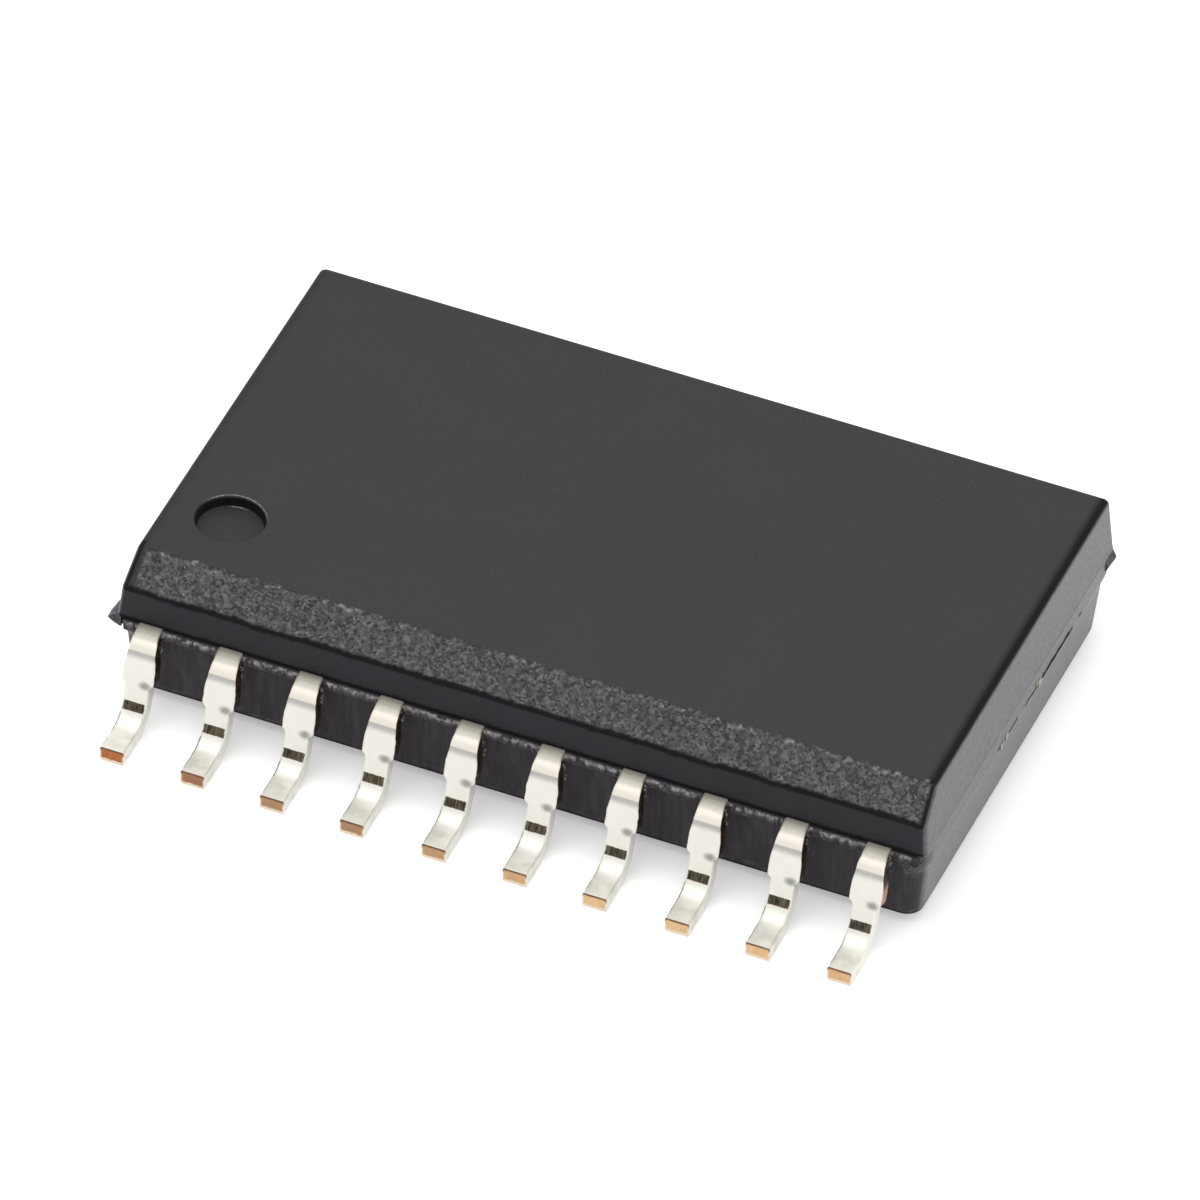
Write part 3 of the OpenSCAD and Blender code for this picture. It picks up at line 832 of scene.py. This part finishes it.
rng = random.Random(5)
for pin in PINS:
    row = -1 if pin <= ROW_PINS else 1
    x = -row * ((pin - 1) % ROW_PINS - HALF_ROW) * PITCH + ROW_X
    for side in (-1, 1):
        for _ in range(9):
            z = PARTING_Z - rng.uniform(0.05, 0.42)
            wide = half_exit + (DAM_WIDTH / 2 - half_exit) * min((PARTING_Z - z) / 0.5, 1)
            out = rng.uniform(0.03, 0.12) + 0.15 * (PARTING_Z - z)
            centre = (x + side * (wide + rng.uniform(0.0, 0.014)), row * (HALF_WIDTH + out), z)
            crumb(centre, rng.uniform(0.02, 0.06), rng, rng.uniform(0.2, 0.8))
print(len(flash_points), "points of flash")


# %% Build the flash
def face_outward(piece):
    """Turns every face so that it looks out of its closed shell."""
    shell = bmesh.new()
    shell.from_mesh(piece.data)
    bmesh.ops.recalc_face_normals(shell, faces=shell.faces)
    shell.to_mesh(piece.data)
    shell.free()


flash = make_piece("resin_flash", flash_points, flash_faces, [compound])
for zone in ZONES:
    store(flash, zone, [values[zone] for values in flash_zones])
face_outward(flash)
smooth_shade(flash, 50)
print("flash ready")

# %% [markdown]
# ## The leads
# Each lead is one strip: a finger inside the body, then two small bends down, the leg, the foot
# bend and the foot. A curve with a bevel would keep one width, but the strip is wide where the
# dam bar was cut off and narrow at the foot. So a rounded rectangle is carried along the path
# and gets its own width at each step.

# %% Path of a lead
FINGER = dict(tip=paddle_high.y + 0.25, tip_length=0.35, width=0.3, root=HALF_WIDTH - 0.6, spread=0.8)
SHOULDER_ANGLE, LEG_ANGLE = 40, 74
SHOULDER_RADIUS, FOOT_RADIUS = 0.07 + STRIP / 2, 0.39 + STRIP / 2
FOOT_WIDTH = 0.38
FLARE_Z, STEP_Z = PARTING_Z - 0.5, 0.76
FACET_LENGTH, STUB_LENGTH = 0.08, 0.005


def wing_path():
    """Middle of the strip outside the body: distance out, height, slope and length so far."""
    steps = []
    bend_drop = (SHOULDER_RADIUS + FOOT_RADIUS) * (1 - math.cos(math.radians(LEG_ANGLE)))
    shoulder_drop = FACET_LENGTH * math.sin(math.radians(SHOULDER_ANGLE))
    leg = (PARTING_Z - STRIP - bend_drop - shoulder_drop) / math.sin(math.radians(LEG_ANGLE))
    out, z, slope, along = 0.0, PARTING_Z - STRIP / 2, 0.0, 0.0
    foot = -lead_low.y - HALF_WIDTH

    def straight(length, count):
        nonlocal out, z, along
        for _ in range(count):
            out += length / count * math.cos(math.radians(slope))
            z -= length / count * math.sin(math.radians(slope))
            along += length / count
            steps.append((out, z, slope, along))

    def curve(radius, end_slope, count):
        nonlocal out, z, slope, along
        start = slope
        for k in range(1, count + 1):
            new = start + (end_slope - start) * k / count
            middle = math.radians((slope + new) / 2)
            chord = 2 * radius * math.sin(math.radians(abs(new - slope) / 2))
            out += chord * math.cos(middle)
            z -= chord * math.sin(middle)
            slope = new
            along += chord
            steps.append((out, z, slope, along))

    steps.append((out, z, slope, along))
    straight(STUB_LENGTH, 1)
    curve(SHOULDER_RADIUS, SHOULDER_ANGLE, 12)
    straight(FACET_LENGTH, 5)
    curve(SHOULDER_RADIUS, LEG_ANGLE, 10)
    straight(leg, 32)
    curve(FOOT_RADIUS, 0, 30)
    straight(foot - out, 20)
    return steps


wing = wing_path()
print(f"wing: {len(wing)} steps, toe {wing[-1][0]:.3f} mm out, middle of the foot at {wing[-1][1]:.3f} mm")

LEG_END = max(along for out, z, slope, along in wing if slope > LEG_ANGLE - 0.01)
STEP_AT = min(along for out, z, slope, along in wing if z < STEP_Z)
FACET_END = min(along for out, z, slope, along in wing if slope > SHOULDER_ANGLE + 1)
WING_END = wing[-1][3]
print(f"facet ends {FACET_END:.3f}, step {STEP_AT:.3f}, leg ends {LEG_END:.3f}, toe {WING_END:.3f} mm along")


# %% [markdown]
# ## Tin plate, cut edges and cut copper
# The leads are copper strip, plated with matt tin and cut free after plating. So the broad
# faces are nearly white, with a soft sheen, while the toes show copper. The sides of the wide
# part are the cuts of the dam bar, tarnished and smeared with resin. The foot bend carries a
# dark bar. The bright facet of the shoulder is a painted highlight, and the grey beside the
# step, near the body and under the facet is painted shade. The marks could be dents in the
# mesh, but they have no depth, so they are painted by how far along and across the strip a
# point lies.

# %% Matt tin: almost white, faintly cloudy
tin, tree, shader = new_material("matt_tin_plate_with_painted_light")
spot = add_node(tree, "TexCoord").outputs["Object"]
across, along, upper = (
    add_node(tree, "Attribute", {"attribute_name": name}).outputs["Fac"]
    for name in ("across", "along", "upper")
)
cloud = add_node(tree, "TexNoise", Vector=spot, Scale=per_mm(0.25), Detail=4.0).outputs["Fac"]
plate = add_node(
    tree, "Mix", COLOUR_MIX, _0=cloud, _6=linear("#f2eee3"), _7=linear("#fcf9f1")
).outputs[2]
wobble = add_node(tree, "TexNoise", Vector=spot, Scale=per_mm(0.06), Detail=3.0).outputs["Fac"]
shaken_along, shaken_across = (
    add_node(
        tree, "Math", {"operation": "MULTIPLY_ADD"}, _0=wobble, _1=0.03,
        _2=add_node(tree, "Math", {"operation": "SUBTRACT"}, _0=value, _1=0.015).outputs[0],
    ).outputs[0]
    for value in (along, across)
)
print("plain plate ready")

# %% Facet of the shoulder with a painted highlight, painted shade near the body, and painted shade in the crease below it
painted_facet_highlight = add_node(
    tree, "MapRange", Value=along, From_Min=FACET_END + 0.075, From_Max=FACET_END + 0.06
).outputs["Result"]
painted_body_shade = add_node(
    tree, "MapRange", Value=shaken_along, From_Min=0.19, From_Max=0.09, To_Max=1.0
).outputs["Result"]
below = add_node(
    tree, "MapRange", {"interpolation_type": "SMOOTHSTEP"},
    Value=shaken_along, From_Min=FACET_END + 0.2, From_Max=FACET_END + 0.09, To_Max=0.85,
).outputs["Result"]
painted_crease_shade = add_node(
    tree, "MapRange", Value=along, From_Min=FACET_END + 0.065, From_Max=FACET_END + 0.08
).outputs["Result"]
for mask in (below, upper):
    painted_crease_shade = add_node(tree, "Math", {"operation": "MULTIPLY"}, _0=painted_crease_shade, _1=mask).outputs[0]
layers = [(painted_facet_highlight, linear("#fff8ea")), (painted_body_shade, linear("#a3a093")), (painted_crease_shade, linear("#b6b4af"))]
print("shoulder ready")

# %% Dark bar in the foot bend, with streaks down the lead
comb = add_node(tree, "Mapping", Vector=spot, Scale=(1.0, 0.12, 0.12)).outputs[0]
comb = add_node(tree, "TexNoise", Vector=comb, Scale=per_mm(0.022), Detail=3.0).outputs["Fac"]
comb = add_node(tree, "MapRange", Value=comb, From_Min=0.38, From_Max=0.68).outputs["Result"]
bar_tone = add_node(
    tree, "Mix", COLOUR_MIX, _0=comb, _6=linear("#201f1a"), _7=linear("#756b53")
).outputs[2]
brown_share = add_node(
    tree, "Math", {"operation": "MULTIPLY"},
    _0=window(tree, shaken_across, -0.02, 0.09, 0.03),
    _1=add_node(
        tree, "MapRange", Value=along, From_Min=LEG_END + 0.13, From_Max=LEG_END + 0.2, To_Max=0.7
    ).outputs["Result"],
).outputs[0]
bar_tone = add_node(tree, "Mix", COLOUR_MIX, _0=brown_share, _6=bar_tone, _7=linear("#6d4c2c")).outputs[2]
bar = window(tree, shaken_across, -0.165, 0.165, 0.008)
for mask in (window(tree, shaken_along, LEG_END + 0.02, LEG_END + 0.21, 0.006), upper):
    bar = add_node(tree, "Math", {"operation": "MULTIPLY"}, _0=bar, _1=mask).outputs[0]
layers.append((bar, bar_tone))
print("pressed bar ready")

# %% Painted shade beside the step, where the wide part of the lead narrows
offsets = [
    add_node(
        tree, "MapRange", {"clamp": False}, Value=value, From_Min=middle, From_Max=middle + reach
    ).outputs["Result"]
    for value, middle, reach in ((shaken_across, 0.125, 0.1), (shaken_along, STEP_AT - 0.022, 0.07))
]
distance = add_node(
    tree, "VectorMath", {"operation": "LENGTH"},
    _0=add_node(tree, "CombineXYZ", X=offsets[0], Y=offsets[1]).outputs[0],
).outputs["Value"]
painted_step_shade = add_node(
    tree, "MapRange", Value=distance, From_Min=1.25, From_Max=0.4, To_Max=0.85
).outputs["Result"]
painted_step_shade = add_node(tree, "Math", {"operation": "MULTIPLY"}, _0=painted_step_shade, _1=upper).outputs[0]
layers.append((painted_step_shade, linear("#8e8f8b")))
print("smudge ready")

# %% Grey line down one edge of the foot, and a faint shade in the middle of it
edge_line = window(tree, shaken_across, -0.19, -0.165, 0.008)
for mask in (
    window(tree, along, LEG_END + 0.26, WING_END - 0.08, 0.05), upper,
    add_node(tree, "MapRange", Value=cloud, From_Min=0.3, From_Max=0.55).outputs["Result"],
):
    edge_line = add_node(tree, "Math", {"operation": "MULTIPLY"}, _0=edge_line, _1=mask).outputs[0]
foot_shade = add_node(
    tree, "Math", {"operation": "MULTIPLY"},
    _0=window(tree, shaken_along, WING_END - 0.4, WING_END - 0.06, 0.09),
    _1=add_node(
        tree, "MapRange", Value=cloud, From_Min=0.4, From_Max=0.6, To_Max=0.5
    ).outputs["Result"],
).outputs[0]
layers += [(edge_line, linear("#8b8578")), (foot_shade, linear("#cac6b4"))]
for mask, over in layers:
    plate = add_node(tree, "Mix", COLOUR_MIX, _0=mask, _6=plate, _7=over).outputs[2]
tree.links.new(plate, shader.inputs["Base Color"])
print(len(layers), "layers over the plate")

# %% Sheen of the tin
gloss = add_node(tree, "MapRange", Value=cloud, To_Min=0.4, To_Max=0.52).outputs["Result"]
tree.links.new(gloss, shader.inputs["Roughness"])
crystals = add_node(tree, "TexNoise", Vector=spot, Scale=per_mm(0.03), Detail=2.0).outputs["Fac"]
dents = add_node(tree, "Bump", Height=crystals, Strength=0.15, Distance=0.003 * MM)
tree.links.new(dents.outputs["Normal"], shader.inputs["Normal"])
shader.inputs["Metallic"].default_value = 0.36
print("tin ready")

# %% Cut of the dam bar: copper gone brown and black under smeared resin
dam_cut, tree, shader = new_material("tarnished_copper_dam_bar_cut")
spot = add_node(tree, "TexCoord").outputs["Object"]
drag = add_node(tree, "Mapping", Vector=spot, Scale=(1.0, 1.0, 0.4)).outputs[0]
tear = add_node(tree, "TexNoise", Vector=drag, Scale=per_mm(0.07), Detail=4.0).outputs["Fac"]
tear = add_node(tree, "MapRange", Value=tear, From_Min=0.45, From_Max=0.72).outputs["Result"]
tone = add_node(tree, "Mix", COLOUR_MIX, _0=tear, _6=linear("#17130d"), _7=linear("#5a4524")).outputs[2]
for name, over in (("clean", "#e0b09a"), ("upper", "#a3824e")):
    mask = add_node(tree, "Attribute", {"attribute_name": name}).outputs["Fac"]
    tone = add_node(tree, "Mix", COLOUR_MIX, _0=mask, _6=tone, _7=linear(over)).outputs[2]
tree.links.new(tone, shader.inputs["Base Color"])
rough = add_node(tree, "MapRange", Value=tear, To_Min=0.45, To_Max=0.65).outputs["Result"]
tree.links.new(rough, shader.inputs["Roughness"])
shader.inputs["Metallic"].default_value = 0.5
print("dam bar cut ready")

# %% Cut copper of the toes, with a margin of dragged tin
copper, tree, shader = new_material("copper_strip_sheared")
spot = add_node(tree, "TexCoord").outputs["Object"]
across, rise, tint, dull = (
    add_node(tree, "Attribute", {"attribute_name": name}).outputs["Fac"]
    for name in ("across", "rise", "tint", "dull")
)
drag = add_node(tree, "Mapping", Vector=spot, Scale=(1.0, 1.0, 0.35)).outputs[0]
tear = add_node(tree, "TexNoise", Vector=drag, Scale=per_mm(0.06), Detail=4.0).outputs["Fac"]
fresh = add_node(
    tree, "Mix", COLOUR_MIX, _0=tear, _6=linear("#bd9868"), _7=linear("#ebcda2")
).outputs[2]
burnt = add_node(
    tree, "Mix", COLOUR_MIX, _0=tear, _6=linear("#7d4428"), _7=linear("#d88048")
).outputs[2]
tone = add_node(tree, "Mix", COLOUR_MIX, _0=tint, _6=fresh, _7=burnt).outputs[2]
tone = add_node(tree, "Mix", COLOUR_MIX, _0=dull, _6=tone, _7=linear("#6a4c3c")).outputs[2]
bright = add_node(
    tree, "Math", {"operation": "MULTIPLY_ADD"}, _0=tear, _1=0.05,
    _2=add_node(tree, "Math", {"operation": "SUBTRACT"}, _0=rise, _1=0.025).outputs[0],
).outputs[0]
rim = add_node(
    tree, "Math", {"operation": "MULTIPLY"},
    _0=window(tree, bright, -0.075, 0.088, 0.012), _1=window(tree, across, -0.168, 0.168, 0.012),
).outputs[0]
edge = add_node(tree, "MapRange", Value=bright, From_Min=0.03, From_Max=0.09).outputs["Result"]
margin = add_node(
    tree, "Mix", COLOUR_MIX, _0=edge, _6=linear("#dfd2bf"), _7=linear("#6b4d34")
).outputs[2]
tone = add_node(tree, "Mix", COLOUR_MIX, _0=rim, _6=margin, _7=tone).outputs[2]
tree.links.new(tone, shader.inputs["Base Color"])
rough = add_node(tree, "MapRange", Value=tear, To_Min=0.35, To_Max=0.55).outputs["Result"]
tree.links.new(rough, shader.inputs["Roughness"])
shader.inputs["Metallic"].default_value = 0.85
grain = add_node(tree, "Bump", Height=tear, Strength=0.3, Distance=0.006 * MM)
tree.links.new(grain.outputs["Normal"], shader.inputs["Normal"])
print("copper ready")


# %% Cross-section of the strip
def section(width, thickness, radius=0.03):
    """Rounded rectangle, counterclockwise about the direction of travel: (across, up)."""
    points = []
    w, t = width / 2 - radius, thickness / 2 - radius
    corners = ((w, t, 0), (-w, t, 90), (-w, -t, 180), (w, -t, 270))
    for k, (cx, cy, start) in enumerate(corners):
        for i in range(4):
            a = math.radians(start + 30 * i)
            points.append((cx + radius * math.cos(a), cy + radius * math.sin(a)))
        nx, ny, _ = corners[(k + 1) % 4]
        a = math.radians(start + 90)
        x0, y0 = cx + radius * math.cos(a), cy + radius * math.sin(a)
        x1, y1 = nx + radius * math.cos(a), ny + radius * math.sin(a)
        inner = 7 if k % 2 == 0 else 5
        for i in range(1, inner + 1):
            s = i / (inner + 1)
            points.append((x0 + (x1 - x0) * s, y0 + (y1 - y0) * s))
    return points


SECTION_POINTS = len(section(0.4, STRIP))
print("points in a section:", SECTION_POINTS)


def wing_half_width(z):
    """Half the width of the strip at this height."""
    flare = min(max((PARTING_Z - z) / (PARTING_Z - FLARE_Z), 0.0), 1.0)
    wide = (EXIT_WIDTH + (DAM_WIDTH - EXIT_WIDTH) * flare) / 2
    return FOOT_WIDTH / 2 + (wide - FOOT_WIDTH / 2) * ease(z, STEP_Z - 0.04, STEP_Z + 0.03)


# %% Shape of one lead
TIN, TOE, DAM_CUT = range(3)
# How red, and how dull, the cut copper of a toe is, by pin. Two leads show clean copper low
# down on their dam bar cuts.
CLEAN_CUTS = (10, 17)
REDDENED = {1: 1.0, 2: 0.6, 3: 0.3, 11: 0.8, 14: 0.5}
DULLED = {1: 0.15, 2: 0.6, 3: 0.5, 4: 0.55, 5: 0.35, 6: 0.15, 13: 0.4, 16: 0.5}


def lead_mesh(pin):
    """Points, faces, material numbers and point values of one lead, in its own row's frame."""
    place_in_row = (pin - 1) % ROW_PINS - HALF_ROW
    shift = ROW_X if pin <= ROW_PINS else -ROW_X
    root_x = place_in_row * PITCH + shift
    tip_x = place_in_row * FINGER["spread"] + shift
    rng = random.Random(pin)
    points = []
    values = {"across": [], "along": [], "upper": [], "rise": []}
    rings_made = 0

    def add_ring(centre, across, upward, left, right, along=0.0):
        nonlocal rings_made
        for u, v in section(right - left, STRIP):
            u += (left + right) / 2
            points.append(Vector(centre) + Vector(across) * u + Vector(upward) * v)
            values["across"].append(u)
            values["along"].append(along)
            values["upper"].append(1.0 if v > STRIP / 2 - 0.02 else 0.0)
            values["rise"].append(v)
        rings_made += 1

    z_mid = PARTING_Z - STRIP / 2
    knee = FINGER["tip"] + FINGER["tip_length"]
    half = FINGER["width"] / 2
    path = [(tip_x, -FINGER["tip"]), (tip_x, -knee), (root_x, -FINGER["root"]), (root_x, -HALF_WIDTH)]
    for k, (x, y) in enumerate(path[:-1]):
        before = Vector(path[max(k, 1)]) - Vector(path[max(k, 1) - 1])
        after = Vector(path[k + 1]) - Vector(path[k])
        n1 = Vector((-before.y, before.x)).normalized()
        n2 = Vector((-after.y, after.x)).normalized()
        side = (n1 + n2) / (1 + n1.dot(n2))
        add_ring((x, y, z_mid), (side.x, side.y, 0), (0, 0, 1), -half, half)
    add_ring((root_x, -FINGER["root"] - 0.1, z_mid), (1, 0, 0), (0, 0, 1), -EXIT_WIDTH / 2, EXIT_WIDTH / 2)

    pull = rng.uniform(0.0, 0.012)
    sway = rng.uniform(-0.012, 0.012)
    for out, z, slope, along in wing:
        s = math.radians(slope)
        y = -HALF_WIDTH - out * (1 - pull)
        x = root_x + sway * ease(out, 0, 0.5)
        half = wing_half_width(z)
        left = -half + 0.006 * ripple(along, pin, 0, 0.1)
        right = half + 0.007 * ripple(along, pin, 5, 0.07)
        add_ring((x, y, z), (1, 0, 0), (0, -math.sin(s), math.cos(s)), left, right, along + 0.001)
    n = SECTION_POINTS
    faces = [
        (k * n + (i + 1) % n, k * n + i, (k + 1) * n + i, (k + 1) * n + (i + 1) % n)
        for k in range(rings_made - 1)
        for i in range(n)
    ]
    materials = [TIN] * len(faces)
    square = section(1.0, STRIP)
    for k in range(4, rings_made - 1):
        for i in range(n):
            on_side = min(abs(square[i][0]), abs(square[(i + 1) % n][0])) > 0.495
            if on_side and points[k * n + i].z > STEP_Z - 0.02:
                materials[k * n + i] = DAM_CUT
    faces.append(tuple(range(n)))
    materials.append(TIN)
    faces.append(tuple((rings_made - 1) * n + i for i in range(n - 1, -1, -1)))
    materials.append(TOE)
    return points, faces, materials, values


# %% Build the twenty leads
def build_lead(pin):
    """One finished lead that stands for its CAD node."""
    points, faces, numbers, values = lead_mesh(pin)
    if pin > ROW_PINS:
        points = [Vector((-p.x, -p.y, p.z)) for p in points]
    name = f"lead_{pin:02d}"
    piece = make_piece(f"tinned_{name}", points, faces, [tin, copper, dam_cut], [name])
    piece.data.polygons.foreach_set("material_index", numbers)
    values["tint"] = [REDDENED.get(pin, 0.25 * random.Random(pin + 100).random())] * len(points)
    values["dull"] = [DULLED.get(pin, 0.0)] * len(points)
    values["clean"] = [0.7 * (1 - ease(p.z, 0.98, 1.12)) if pin in CLEAN_CUTS else 0.0 for p in points]
    for key, column in values.items():
        store(piece, key, column)
    smooth_shade(piece, 50)


for pin in PINS:
    build_lead(pin)

# %% [markdown]
# ## Cut tie bars
# Two tie bars hold the die paddle at each end while the body is moulded. They are nipped off
# flush and a thin skin of resin covers them, but small burrs of tinned metal still show.


# %% Burrs of the tie bars
def burr(y, z, size, end, rng):
    """A torn tongue of metal on an end face: rows of points round a bent spine."""
    rows = []
    for k in range(7):
        t = k / 6
        girth = size * (0.16 + 0.34 * math.sin(math.pi * (0.12 + 0.76 * t)))
        lift = HALF_LENGTH + TIE_COVER + 0.008 * math.sin(math.pi * t)
        drift = rng.uniform(-0.1, 0.1) * size
        rows.append([
            Vector((
                end * (lift + 0.012 * math.cos(a)),
                y + drift + girth * math.sin(a) * rng.uniform(0.8, 1.2),
                z + (t - 0.5) * size,
            ))
            for a in (2 * math.pi * i / 8 for i in range(8))
        ])
    return rows


# Each burr: how far across the end, how high, and its size, in mm.
BURRS = ((0.76, 1.28, 0.14), (0.64, 1.34, 0.07), (-0.55, 1.30, 0.11), (-0.75, 1.26, 0.10))
points, faces = [], []
rng = random.Random(31)
for end in (1, -1):
    for y, z, size in BURRS:
        rows = burr(end * y, z, size, end, rng)
        faces += shell_faces(len(points), len(rows[0]), len(rows))
        points += [point for row in rows for point in row]
burrs = make_piece("tie_bar_burrs", points, faces, [tin])
face_outward(burrs)
smooth_shade(burrs, 60)

# %% [markdown]
# ## Inside the package
# The paddle, the die and the wires stay as the CAD made them. They are out of sight, but each
# still gets the finish of the real thing, so a cut-away of the model looks right.

# %% Copper paddle, silver epoxy, silicon and gold
# Each finish: its name, its two tones, metallic, roughness, and the size of its clouds in mm.
INNER = {
    "die_paddle": ("half_hard_copper_strip", "#c98a62", "#dba27c", 1.0, 0.32, 0.4),
    "die_attach": ("silver_filled_epoxy", "#8f9094", "#a6a7aa", 0.4, 0.55, 0.06),
    "die": ("lapped_silicon", "#565d68", "#666e7a", 0.6, 0.22, 0.9),
    "wire": ("drawn_gold_wire", "#e0ab3c", "#f0c35c", 1.0, 0.2, 0.05),
}
finishes = {}
for kind, (name, first, second, metal, rough_value, size) in INNER.items():
    finish, tree, shader = new_material(name)
    spot = add_node(tree, "TexCoord").outputs["Object"]
    cloud = add_node(tree, "TexNoise", Vector=spot, Scale=per_mm(size), Detail=4.0).outputs["Fac"]
    tone = add_node(tree, "Mix", COLOUR_MIX, _0=cloud, _6=linear(first), _7=linear(second)).outputs[2]
    tree.links.new(tone, shader.inputs["Base Color"])
    rough = add_node(
        tree, "MapRange", Value=cloud, To_Min=rough_value - 0.06, To_Max=rough_value + 0.08
    ).outputs["Result"]
    tree.links.new(rough, shader.inputs["Roughness"])
    shader.inputs["Metallic"].default_value = metal
    finishes[kind] = finish

for node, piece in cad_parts.items():
    finish = finishes.get("wire" if node.startswith("wire_") else node)
    if finish:
        for slot in piece.material_slots:
            slot.material = finish
print("inner pieces finished")

# %% [markdown]
# ## Finish
# The picture uses the standard view transform. The visual model must stay inside the CAD box.

# %% Standard view transform
bpy.context.scene.view_settings.view_transform = "Standard"
